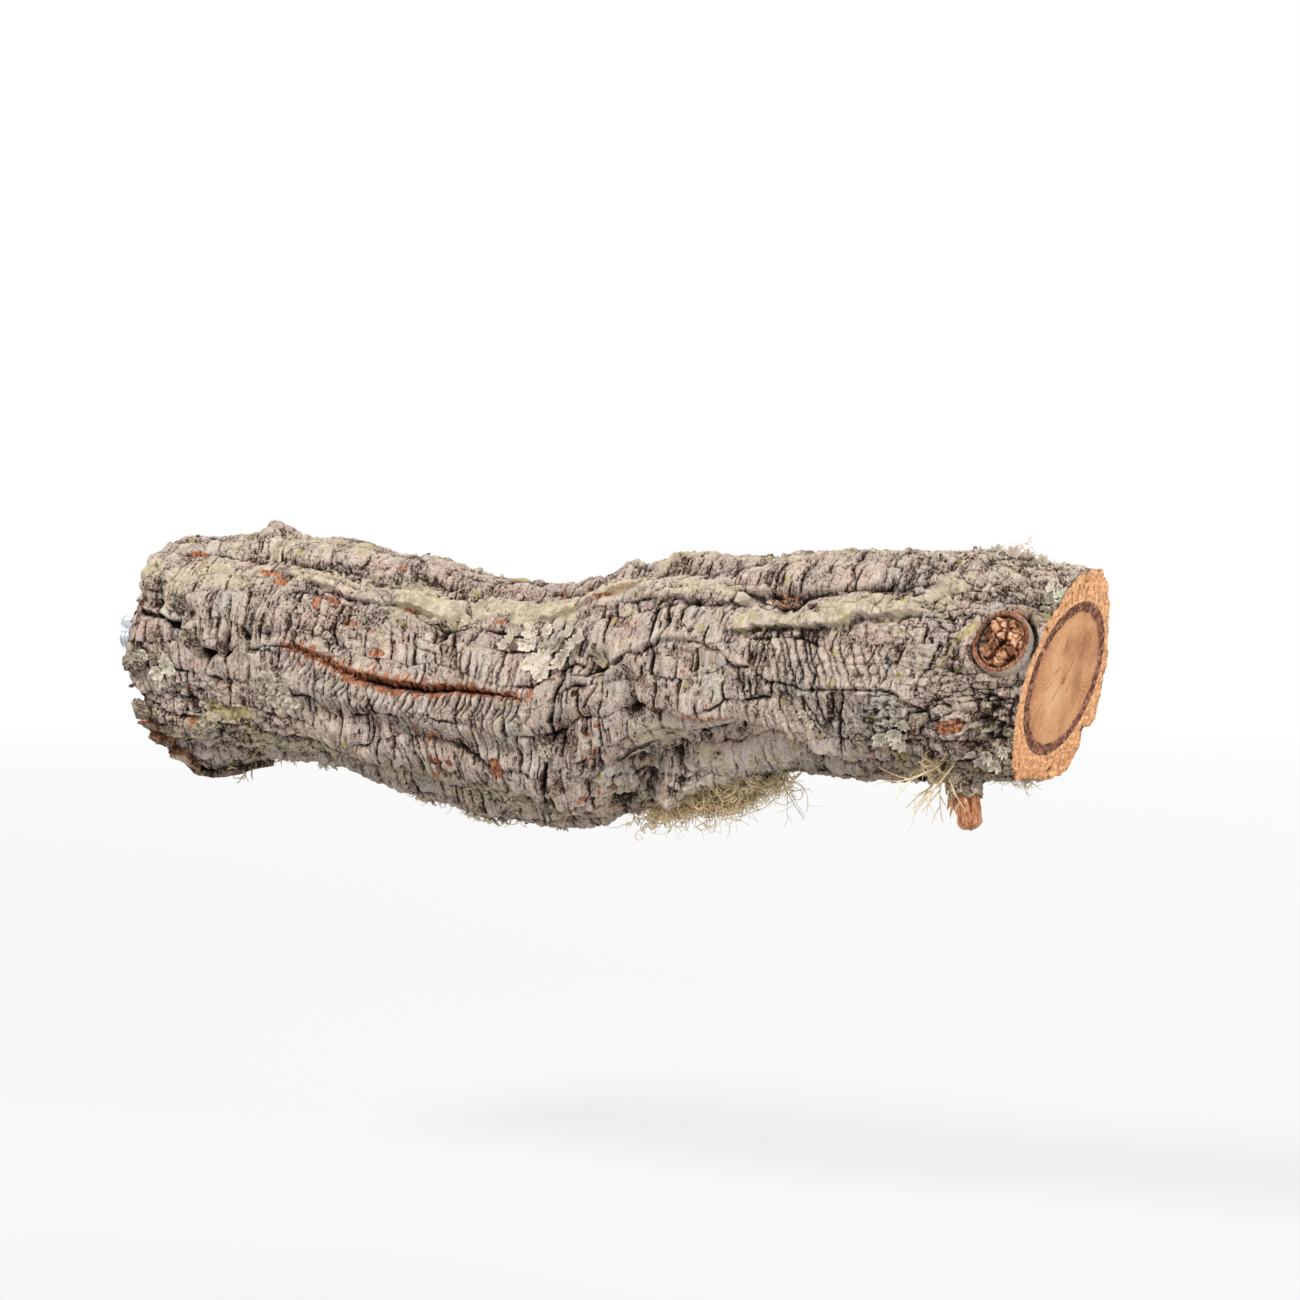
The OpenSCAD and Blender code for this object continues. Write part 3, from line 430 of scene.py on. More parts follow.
def cells(p, size, seed=0):
    """Cell pattern: one drawn point in each cube of a lattice. Gives the distance to the nearest
    point, how much further the second one is, both in cell sizes, and the nearest one's number."""
    q = p / size
    i = np.floor(q)
    first = np.full(q.shape[:-1], 9.0)
    second, name = first.copy(), np.zeros(q.shape[:-1])
    for dx in (-1, 0, 1):
        for dy in (-1, 0, 1):
            for dz in (-1, 0, 1):
                c = i + np.array([dx, dy, dz])
                d = 0.0
                for k in range(3):
                    d = d + (c[..., k] + lot(c[..., 0], c[..., 1], c[..., 2], seed + k) - q[..., k]) ** 2
                nearer = d < first
                second = np.where(nearer, first, np.minimum(second, d))
                name = np.where(nearer, lot(c[..., 0], c[..., 1], c[..., 2], seed + 7), name)
                first = np.where(nearer, d, first)
    return np.sqrt(first), np.sqrt(second) - np.sqrt(first), name


def strips(t, key, seed, around=0):
    """Strips side by side along t, with walls at whole numbers, each moved by a drawn share. Gives
    the strip's number, the share across it, the distance to the nearest wall and that wall's own
    drawn number. around makes the numbers repeat after that many strips."""
    def name(n):
        return np.mod(n, around) if around else n

    def wall(n):
        return n + 0.66 * (lot(name(n), key, seed) - 0.5)

    i = np.floor(t)
    w0, w1 = wall(i), wall(i + 1)
    low, high = w0 > t, w1 <= t
    left = np.where(low, wall(i - 1), np.where(high, w1, w0))
    right = np.where(low, w0, np.where(high, wall(i + 2), w1))
    n = i - low + high
    share = (t - left) / (right - left)
    return name(n), share, np.minimum(t - left, right - t), lot(name(n + (share > 0.5)), key, seed + 3)


def vector(*parts):
    """The parts side by side on a new last axis, each spread to the same shape."""
    return np.stack(np.broadcast_arrays(*parts), -1)


def circle(n):
    """One row of n even angles round a whole turn, in radians."""
    return np.radians(np.arange(n) * 360 / n)[None]


def groove(distance, half_width):
    """1 on a line, falling away within about its half width."""
    return np.exp(-(distance / half_width) ** 1.5)


def between(t, low, high, fade):
    """1 from low to high, falling to 0 over a fade that is centred on each end."""
    return np.clip((t - low) / fade + 0.5, 0, 1) * np.clip((high - t) / fade + 0.5, 0, 1)


# The branch's surface
def cork_thickness(u, a):
    """Thickness of the cork in the solids: a share for the top, underside and side blended round
    the branch, with three sine ripples, knobs added and the deepest furrow taken off."""
    r = np.radians(a)
    up, down = np.clip(np.sin(r), 0, 1), np.clip(-np.sin(r), 0, 1)
    side = along(SIDE, u)
    body = side + (along(TOP, u) - side) * up * up + (along(UNDER, u) - side) * down * down
    ripple = (0.05 * np.sin(3 * r + np.radians(420 * u)) + 0.05 * np.sin(5 * r + np.radians(50 - 700 * u))
              + 0.035 * np.sin(9 * r + np.radians(1500 * u)))
    deepest = 0.0
    for depth, width, route in FURROWS:
        ends = np.clip((u - route[0][0]) / 0.04 + 0.4, 0, 1)
        ends = ends * np.clip((route[-1][0] - u) / 0.04 + 0.4, 0, 1)
        deepest = np.maximum(deepest, depth * ends * bell(turn(a, along(route, u)) / width))
    knobs = sum(k[4] * bell((u - k[0]) / k[2]) * bell(turn(a, k[1]) / k[3]) for k in KNOBS)
    return CORK_T * np.maximum(LEAST_CORK, body * (1 + ripple) + knobs - deepest * body)


def leaning(y, z):
    """How much further out the saw cut is at y and z mm: it leans back and turns."""
    return math.tan(SAW_LEAN) * (z + BEND_DROP * BEND[-1][1]) + math.tan(SAW_TURN) * y


def spot(u, a, r):
    """Point of the branch in mm at a share of its length, an angle up from the near side and a
    radius: the middle line drops at the bend, and the far end leans with the saw cut."""
    t = np.radians(a)
    y = -r * np.cos(t)
    z = r * np.sin(t) - BEND_DROP * along(BEND, u)
    return vector(WASHER_T + u * SPAN + u ** 4 * leaning(y, z), y, z)


def share(x):
    """Share of the branch's length at a distance in mm from the mount face."""
    return (x - WASHER_T) / SPAN


def from_route(x, a, route, wander=0.0, fade=7.0):
    """Distance in mm round the bark from a line of [mm, degrees], up being positive, and how much
    of the line is there: 1 between its ends, fading away past them."""
    gap = np.radians(turn(a, along(route, x))) * GIRTH_R + wander
    return gap, between(x, route[0][0], route[-1][0], fade)


def patches(x, a, table, wander):
    """The most that any band of the table covers a place: a flat-topped bell across each line."""
    most = 0.0
    for strength, width, route in table:
        gap, there = from_route(x, a, route, wander, 10.0)
        most = np.maximum(most, strength * there * np.exp(-(gap / width) ** 4))
    return most


def near(x, a, row, wander=0.0):
    """Bell round one place of [mm, degrees, half length, half width]."""
    dx = (x - row[0] + wander) / row[2]
    dy = np.radians(turn(a, row[1])) * GIRTH_R / row[3]
    return np.exp(-(dx * dx + dy * dy))


def blurred(values, reach):
    """Values averaged over a square of 2 * reach + 1 cells, twice, wrapping round the branch."""
    for _ in range(2):
        rows = np.pad(values, ((reach + 1, reach), (0, 0)), mode="edge").cumsum(0)
        values = (rows[2 * reach + 1:] - rows[:-2 * reach - 1]) / (2 * reach + 1)
        cols = np.pad(values, ((0, 0), (reach + 1, reach)), mode="wrap").cumsum(1)
        values = (cols[:, 2 * reach + 1:] - cols[:, :-2 * reach - 1]) / (2 * reach + 1)
    return values


def bark_surface(rows, n, relief):
    """The dressed bark on a grid of rows along and n columns round: radius, angle shift and masks.
    On the solids' own radius stand bands that run along the branch, split across into blocks and
    into thin layers, then fissures with lips, ledges, pits, chips and a crust of small plates."""
    u, a = np.meshgrid(np.linspace(0, 1, rows + 1), np.arange(n) * 360 / n, indexing="ij")
    base = LINER_R + cork_thickness(u, a)
    base = base + (along(RIM, a) - base) * ramp(u, 0.93, 1.0)
    p = spot(u, a, base)
    x = WASHER_T + u * SPAN

    def at(*row):
        """Bell round one place of the grid."""
        return near(x, a, row)

    slow, mid, fine = noise(p, 31, 1, 2), noise(p, 11, 2, 2), noise(p, 3.2, 3, 2)
    fibre = noise(p * (1, 0.2, 0.2), 0.95, 14, 2)
    grit = noise(p, 1.3, 13, 2)
    crust = patches(x, a, CRUSTS, 3.4 * mid + 2.2 * fine)
    film = patches(x, a, FILMS, 3.0 * mid + 2.0 * fine) * (1 - at(205, -48, 24, 9))
    moss = patches(x, a, MOSSES, 1.6 * mid + 1.6 * fine)
    scaly = ramp(u, 0.80, 0.89) * (0.8 + 0.5 * mid) + 0.5 * ramp(noise(p, 45, 5), 0.35, 0.65)
    scaly = np.clip(scaly + 0.3 * crust, 0, 1)
    smooth = np.clip(0.3 * crust + 0.9 * at(205, -46, 21, 6) + 0.5 * at(184, -27, 8, 4), 0, 0.85)

    # bands along the branch like soft rolls, with short broken cracks between them
    t = a / 360 * BANDS + 0.5 * slow + 0.26 * mid + 0.07 * fine
    band, across, wall, drawn = strips(t, 0, 11, BANDS)
    wall = wall * 2 * math.pi * GIRTH_R / BANDS
    split = ramp(0.5 * drawn + 0.9 * noise(p, 7, 6, 2), 0.3, 0.8)
    shape = 0.8 * (1 - np.abs(2 * across - 1) ** 3) * (0.4 + 0.6 * split)
    line = split * groove(wall, 0.42)
    shape -= 1.3 * line

    # slabs across each band, each a little higher, lower or more tilted than the next
    way = x + 1.0 * mid + 1.8 * across * noise(p, 16, 8) + 0.4 * fine
    slab, within, edge, cut = strips(way / SLAB + 9 * lot(band, 3), band, 21)
    edge = edge * SLAB
    cut = ramp(cut + 0.7 * noise(p, 5, 16, 2), 0.25, 0.65) * groove(edge, 0.32)
    slant = 0.9 * (lot(slab, band, 5) - 0.5) + 0.9 * (within - 0.5) * (lot(slab, band, 15) - 0.4)
    shape += slant * ramp(edge, 0.0, 0.5)
    shape -= 1.6 * cut

    # layers: thin flat plates that stand across the branch, two rows to a band, with broken gaps
    row = 2 * band + (across > 0.5 + 0.3 * noise(p, 6, 19))
    way = x + 0.35 * fine + 0.8 * mid + 1.5 * across * noise(p, 20, 9)
    plate, inside, rim, parted = strips(way / LAYER + 7 * lot(row, 4), row, 31)
    layer = lot(plate, row, 6)
    rim = rim * LAYER
    seam = ramp(parted + 0.9 * noise(p, 4, 17, 2), 0.66, 0.92) * groove(rim, 0.24)
    layers = (0.62 * (layer - 0.5) * ramp(rim, 0.0, 0.3) - 1.15 * seam + 0.36 * fibre
              - 0.12 * (2 * inside - 1) ** 2)
    pitch = vector(way + 5 * lot(band, 8), across * 8.6, band * 13.7)

    # petals: longer plates that the orange fissure and a few other places have drawn out
    deep_side, beside = from_route(x, a, [r[:2] for r in FISSURES[0][4]])
    arc = np.radians(turn(a, 0)) * GIRTH_R
    way = (x + 0.5 * fine + 0.8 * mid + beside * (0.04 * deep_side ** 2 - 0.45 * deep_side)
           + 0.5 * arc * ramp(x, 170, 200))
    _, petal, rim, parted = strips(way / PETAL, 0 * x, 61)
    hair = noise(vector(way, 0.16 * deep_side, 0 * x), 0.62, 18, 2)
    drawn_out = (0.9 * at(48, 17, 17, 5) + 0.9 * at(231, 2, 17, 4.5)
                 + beside * bell((deep_side + 3.0) / 3.8) + 0.7 * at(126, 14, 13, 6)
                 + 0.5 * at(130, 70, 30, 8) + 0.8 * at(222, 12, 18, 5) + 0.7 * at(228, -22, 14, 5))
    drawn_out = np.clip(drawn_out, 0, 1)
    flute = (0.3 + 0.7 * parted) * np.exp(-(rim * PETAL / 0.3) ** 1.4)
    shape = shape * (1 - 0.5 * drawn_out) + layers * (1 - 0.6 * drawn_out) - 1.5 * flute * drawn_out
    shape += 0.8 * drawn_out * (1 - (2 * petal - 1) ** 2)

    # scales: creased flakes of uneven height, drawn out along the branch, at the sawn end and
    # under the crust
    _, border, number = cells(p * (0.62, 1.2, 1.2) + vector(fine, mid, slow) * 1.3, 3.0, 41)
    parting = bell(border / 0.09)
    crease = 1 - np.abs(noise(p * (0.5, 1, 1), 3.4, 42, 3))
    scales = 1.2 * (number - 0.5) - 0.9 * parting + 2.3 * (crease - 0.72)
    shape = shape * (1 - 0.7 * scaly) + (scales + 0.3 * grit) * scaly
    flaky = at(170, -54, 20, 9) + 0.6 * at(270, -50, 10, 8)
    torn_up = 1 - np.abs(noise(p * (0.45, 1, 1), 3.0, 43, 3))
    shape = shape * (1 - 0.6 * flaky) + flaky * (4.6 * (torn_up - 0.7) - 1.2)
    shape = shape * (1 - 0.62 * smooth) + 0.3 * crust + 0.35 * grit * smooth
    shape += 0.5 * noise(p, 6.5, 12, 2) + 0.2 * grit + 0.45 * slow

    # fissures: the orange one has torn petals for lips and a core painted dark as shade, the rest are plain
    fresh, shift, sunk, core, fringe = (np.zeros_like(u) for _ in range(5))
    wander = 0.8 * mid + 0.5 * fine
    strands = noise(p * (1, 0.14, 0.14), 0.75, 18, 2)
    for depth, width, lip, orange, route in FISSURES:
        gap, there = from_route(x, a, [r[:2] for r in route], wander * (1 - 0.5 * orange), 5.0)
        wide = along([[r[0], r[2]] for r in route], x) + 0.35 * (1 - orange) * fine
        wide = there * np.clip(wide, 0.03, 1.2)
        w = width * wide + 0.25
        if orange >= 1:
            gap = gap + 0.5 * hair + 0.6 * (petal - 0.5) * (gap < 1)
            above = np.clip(1 - (gap + 0.3 * w) / (3.0 * w), 0, 1) ** 1.8
            below = np.clip((gap + 1.5 * w) / (1.2 * w), 0, 1) ** 1.2
            slope = np.where(gap > -0.3 * w, above, below)
            fall = depth * (0.3 + 0.7 * ramp(x, 76, 92)) + 1.6 * hair
            sunk = np.maximum(sunk, fall * slope * np.sqrt(wide) * there)
            lower = ramp(gap + 0.9 * hair, -2.5 * w, -1.5 * w)
            upper = ramp(2.5 * w + 0.6 + 2.2 * hair - gap, -0.7, 0.7)
            fringe = np.maximum(fringe, there * lower * upper)
            dark = bell((gap + 0.3 * w) / (0.36 * w + 0.15 * hair))
            core = np.maximum(core, there * ramp(wide, 0.5, 0.85) * ramp(x, 76, 90) * dark)
        else:
            opening = np.clip(1 - np.abs(gap + 0.3 * strands) / w, 0, 1) ** 0.62 * np.sqrt(wide)
            sunk = np.maximum(sunk, depth * opening)
            shows = ramp(1.28 - np.abs(gap) / w, 0.0, 0.2)
            fresh = np.maximum(fresh, 0.7 * orange * there * shows)
        side = bell((np.abs(gap) - w * (1 + 0.9 * orange * (gap > 0)) - 1.2) / 1.2) * there
        shape += lip * side
        shift -= np.sign(gap) * lip * 0.8 * side * (1 + 0.5 * strands)
    for depth, width, route in CROSS_CRACKS:
        way = turn(a, 0) if route[0][0] < 140 else a
        off = np.abs(x - along(route, way) + 0.9 * mid + 0.6 * fine)
        opening = np.clip(1 - off / (width * (0.9 + 0.5 * fine)), 0, 1) ** 0.7
        there = between(way, route[0][0], route[-1][0], 8)
        sunk = np.maximum(sunk, depth * opening * there)
    for height, reach, orange, route in LEDGES:
        gap, there = from_route(x, a, route, wander)
        above = np.exp(-(np.maximum(gap, 0) / reach) ** 2)
        shape += there * height * ramp(gap, -0.35, 0.35) * above
        shape -= there * 0.9 * bell((gap + 1.1) / 1.0)
        shift -= there * 1.1 * bell((gap - 0.7) / 0.9) * (1 + 0.4 * strands)
        lit = bell((gap - 0.1 + 0.4 * strands) / (0.8 + 0.35 * fine))
        fresh = np.maximum(fresh, orange * there * lit)
    for row in PITS:
        shape += row[4] * near(x, a, row, 0.7 * fine)
    for row in CHIPS:
        mask = ramp(near(x, a, row, 0.9 * fine + 0.3 * grit), 0.30, 0.40)
        shape -= mask * row[4]
        fresh = np.maximum(fresh, mask)
    flecks = ramp(noise(p, 2.6, 15, 2) + 0.5 * noise(p, 22, 16), 1.0, 1.12)
    fresh = np.maximum(fresh, 0.8 * (flecks * (1 - scaly * 0.6) * (1 - crust)))

    # the collar round the cut side branch and the seat for its ring, then the two ends
    stub = np.hypot((x - STUB_X) * 1.03, np.radians(turn(a, STUB_A)) * STUB_OUT)
    shape = shape * (1 - 0.8 * ramp(12.5 - stub, 0, 3)) + 1.2 * bell((stub - 9.9) / 1.8)
    fade = ramp(u, 1.0, 0.985) * 0.6 + 0.4
    radius = base + relief * (shape * fade - sunk * (0.35 + 0.65 * ramp(u, 1.0, 0.97)))
    radius = np.where(stub < 8.3, np.minimum(radius, base - 2.9), radius)
    side = np.abs(np.cos(np.radians(a)))
    radius = np.clip(radius, LINER_R + 1.2, (MOST_SIDE - 1.2 * (fine > 0)) / np.maximum(side, 0.5))

    # masks: painted shade in the hollows, from the surface against its average over a small and a larger
    # reach, in the flaky places and the orange fissure's core; the same mask also darkens the pitted places
    # and streaks the fringe. Then the rest
    level = blurred(radius, 6)
    dip = np.clip((level - radius) / 1.5, 0, 1)
    deep = np.clip((blurred(radius, 18) - radius) / 3.0, 0, 1)
    hollow = np.clip(0.5 * dip + 0.15 * sunk + 0.35 * deep, 0, 1)
    hollow = np.maximum(hollow, 0.9 * flaky * ramp(0.72 - torn_up + 0.3 * fine, 0.0, 0.3))
    pitted = at(281, -26, 8, 17) + 0.6 * at(276, 52, 7, 9)
    pitting = noise(p, 1.7, 44, 2)
    hollow = np.maximum(hollow, pitted * ramp(pitting, -0.05, 0.35))
    crust = np.maximum(crust, 0.9 * pitted * ramp(-pitting, 0.3, 0.6))
    hollow = hollow * (1 - 0.8 * fringe) + fringe * np.clip(0.38 - 1.0 * hair, 0, 0.82)
    hollow = np.maximum(hollow, np.clip(1.3 * core, 0, 1))
    fresh = np.maximum(fresh, fringe * (0.9 + 0.6 * hair) * (1 - 0.8 * core))
    # seams: painted shade in the cracks between bands, slabs, layers, scales and petals
    seams = np.maximum(np.maximum(line, cut), 0.8 * seam) * (1 - 0.6 * scaly) + 0.8 * parting * scaly
    seams = np.maximum(seams, flute * drawn_out)
    # tone: drawn per layer, slab and scale, paler below the orange fissure and on the plateau; the smooth
    # plate under the ledge at 205 mm is paler, partly its own colour and partly painted light on its
    # downward-facing side
    tone = (0.5 + 0.4 * (layer - 0.5) + 0.5 * (lot(slab, band, 41) - 0.5) * (1 - scaly)
            + 0.5 * (number - 0.5) * scaly)
    tone += (0.2 * beside * bell((deep_side + 4.5) / 3.0) + 0.5 * at(205, -48, 22, 8)
             + 0.4 * at(158, 57, 14, 9))
    crust = crust * (0.85 + 0.35 * slow) * (1 - 0.6 * hollow)
    # The first mask holds fresh cork, crust, painted shade in the hollows and a painted highlight where the
    # surface stands above its smoothed level; the second holds moss, film, painted shade in the seams and
    # tone
    return {
        "u": u,
        "a": a + np.degrees(shift * relief / GIRTH_R),
        "r": radius,
        "level": level,
        "grain": pitch,
        "wear": vector(fresh, crust, hollow, np.clip((radius - level) / 0.9, 0, 1)),
        "growth": vector(moss, film, np.clip(seams, 0, 1), tone + 0.12 * fibre),
    }


BARK = {}


def bark_grid():
    """The dressed bark, worked out once."""
    if not BARK:
        sizes = bpy.context.scene.perch_sizes
        BARK.update(bark_surface(sizes.rows_along, sizes.columns_round, sizes.relief))
    return BARK


def bark_radius(u, a, key="r"):
    """Radius of the dressed bark at any share and angle, blended from its grid. The key "level"
    gives the smoothed one."""
    grid = bark_grid()[key]
    rows, n = grid.shape
    i = np.clip(np.asarray(u) * (rows - 1), 0, rows - 1.001)
    j = np.mod(np.asarray(a) / 360 * n, n)
    i0, j0 = np.floor(i).astype(int), np.floor(j).astype(int) % n
    s, t = i - i0, j - np.floor(j)
    j1 = (j0 + 1) % n
    return ((grid[i0, j0] * (1 - t) + grid[i0, j1] * t) * (1 - s)
            + (grid[i0 + 1, j0] * (1 - t) + grid[i0 + 1, j1] * t) * s)


# Meshes
def grid_faces(rows, n, wrap_rows=False):
    """Four-cornered faces of a grid whose columns close on themselves, and its rows too if asked."""
    i = np.arange(rows if wrap_rows else rows - 1)[:, None]
    j = np.arange(n)[None, :]
    i1, j1 = (i + 1) % rows, (j + 1) % n
    return vector(i * n + j, i1 * n + j, i1 * n + j1, i * n + j1).reshape(-1, 4)


def poled(points, masks=None, inside_out=False):
    """A grid whose first and last rows are single points: those rows become one point each, with
    three-cornered faces round them. Gives the points, the list of face arrays and the masks."""
    rows, n = points.shape[:2]
    body = points[1:-1].reshape(-1, 3)
    low, high = len(body), len(body) + 1
    j = np.arange(n)
    j1 = (j + 1) % n
    last = (rows - 3) * n
    faces = [grid_faces(rows - 2, n), vector(low, j, j1), vector(last + j, high, last + j1)]
    if inside_out:
        faces = [f[:, ::-1] for f in faces]
    ends = np.stack([points[0].mean(0), points[-1].mean(0)])
    if masks is not None:
        masks = np.concatenate([masks[1:-1].reshape(-1, masks.shape[-1]), masks[[0, -1], 0]])
    return np.concatenate([body, ends]), faces, masks


def piece(name, points, faces, slot, materials, stands_for=(), masks=None, paint=None, crease=50,
          body="branch"):
    """An object at the origin from points in mm and arrays of faces. It rides on a body, stands for
    CAD nodes, and carries masks as point attributes; paint gives each face its material."""
    mesh = bpy.data.meshes.new(name)
    corners = np.concatenate([f.ravel() for f in faces]).astype(np.int32)
    counts = np.concatenate([np.full(len(f), f.shape[1]) for f in faces])
    starts = np.concatenate([[0], np.cumsum(counts)[:-1]]).astype(np.int32)
    points = np.asarray(points).reshape(-1, 3)
    mesh.vertices.add(len(points))
    mesh.vertices.foreach_set("co", (points * MM).astype(np.float32).ravel())
    mesh.loops.add(len(corners))
    mesh.loops.foreach_set("vertex_index", corners)
    mesh.polygons.add(len(counts))
    mesh.polygons.foreach_set("loop_start", starts)
    for look in materials:
        mesh.materials.append(look)
    if paint is not None:
        mesh.polygons.foreach_set("material_index", paint.ravel().astype(np.int32))
    mesh.update(calc_edges=True)
    if mesh.validate():
        raise RuntimeError(f"{name}: the mesh had faults")
    for key, values in (masks or {}).items():
        kind, part = ("FLOAT_COLOR", "color") if values.shape[-1] == 4 else ("FLOAT_VECTOR", "vector")
        values = np.asarray(values, np.float32).ravel()
        mesh.attributes.new(key, kind, "POINT").data.foreach_set(part, values)
    mesh.shade_smooth()
    mesh.set_sharp_from_angle(angle=math.radians(crease))
    made = bpy.data.objects.new(name, mesh)
    bpy.context.scene.collection.objects.link(made)
    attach(made, body)
    if stands_for:
        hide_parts(*stands_for)


def joined(parts):
    """Several sets of points and face arrays as one set."""
    points, faces, start = [], [], 0
    for some, arrays in parts:
        points.append(some)
        faces += [f + start for f in arrays]
        start += len(some)
    return np.concatenate(points), faces


def threads(starts, aims, lengths, steps, curl, droop, thick, seed, sides=3, keep=None):
    """Thin closed tubes. Each goes on from step to step in its last direction, turned about its
    own random axis, shaken a little and drawn down, and thins towards its tip. keep moves points
    that stray. Gives the paths [count, steps + 1, 3] with the tubes' points and faces."""
    draw = np.random.default_rng(seed)
    count = len(starts)
    paths = [starts]
    aim = aims / np.linalg.norm(aims, axis=1, keepdims=True)
    spin = draw.normal(size=(count, 3)) * 0.7
    for _ in range(steps):
        shaken = draw.normal(size=(count, 3)) * 0.4 + np.cross(spin, aim)
        aim = aim + curl * shaken + droop * np.array([0, 0, -1.0])
        aim /= np.linalg.norm(aim, axis=1, keepdims=True)
        step = paths[-1] + aim * (lengths / steps)[:, None]
        paths.append(keep(step) if keep else step)
    path = np.stack(paths, 1)
    return path, tubes(path, thick, sides)


def tubes(path, thick, sides=3, taper=(1.0, 0.35), flat=1.0):
    """Closed tubes round paths [count, steps, 3]: a ring of a few points about each path point,
    square to the path. The radius follows the taper's shares along it, and flat squeezes it."""
    count, steps = path.shape[:2]
    way = np.gradient(path, axis=1)
    way /= np.maximum(np.linalg.norm(way, axis=2, keepdims=True), 1e-9)
    across = np.cross(way, np.array([0.31, 0.87, 0.38]))
    across /= np.maximum(np.linalg.norm(across, axis=2, keepdims=True), 1e-9)
    other = np.cross(way, across) * flat
    turned = (np.arange(sides) * 2 * math.pi / sides)[None, None, :, None]
    shares = np.interp(np.linspace(0, 1, steps), np.linspace(0, 1, len(taper)), taper)
    radius = np.broadcast_to(thick, (count,))[:, None, None, None] * shares[None, :, None, None]
    round_it = np.cos(turned) * across[:, :, None] + np.sin(turned) * other[:, :, None]
    ring = path[:, :, None] + radius * round_it
    first = np.arange(count)[:, None] * steps * sides
    walls = (grid_faces(steps, sides)[None] + first[:, :, None]).reshape(-1, 4)
    last = first + (steps - 1) * sides
    ends = np.concatenate([first + np.arange(sides), last + np.arange(sides)[::-1]])
    return ring.reshape(-1, 3), [walls, ends]


def place_of(p):
    """Share of the length, angle and radius of points in mm: the reverse of spot, by three
    corrections for the leaning end."""
    u = share(p[..., 0])
    for _ in range(3):
        u = share(p[..., 0] - np.clip(u, 0, 1) ** 4 * leaning(p[..., 1], p[..., 2]))
    z = p[..., 2] + BEND_DROP * along(BEND, np.clip(u, 0, 1))
    return u, np.degrees(np.arctan2(z, -p[..., 1])), np.hypot(p[..., 1], z)


def outward(a):
    """Directions straight out of the branch at angles in degrees."""
    t = np.radians(a)
    return vector(0 * t, -np.cos(t), np.sin(t))


def clear_of_bark(p, gap=0.25):
    """Points pushed straight out to the bark's surface where they are inside it."""
    u, a, r = place_of(p)
    lack = np.where((u > -0.01) & (u < 1.01), bark_radius(np.clip(u, 0, 1), a) + gap - r, 0)
    return p + np.maximum(lack, 0)[..., None] * outward(a)


def seated(points, u, a, lean=0.0):
    """Local points, with z outwards, put on their seat in the cork as the solids are: leant along
    the branch and turned to the angle. Gives them and how far the cork stands above the seat."""
    surface = LINER_R + float(cork_thickness(np.float64(u), np.float64(a)))
    r = max(LINER_R + CORK_T * LEAST_CORK, surface - SEAT_DEPTH)
    l, b = math.radians(lean), math.radians(90 - a)
    x, y, z = points[..., 0], points[..., 1], points[..., 2]
    x, z = x * math.cos(l) + z * math.sin(l), z * math.cos(l) - x * math.sin(l)
    y, z = y * math.cos(b) - z * math.sin(b), y * math.sin(b) + z * math.cos(b)
    return spot(np.float64(u), np.float64(a), r) + vector(x, y, z), surface - r


def seat(x, a):
    """Point and outward direction of the bark at [mm, degrees]."""
    u = share(x)
    return spot(u, a, bark_radius(u, a)), outward(a)


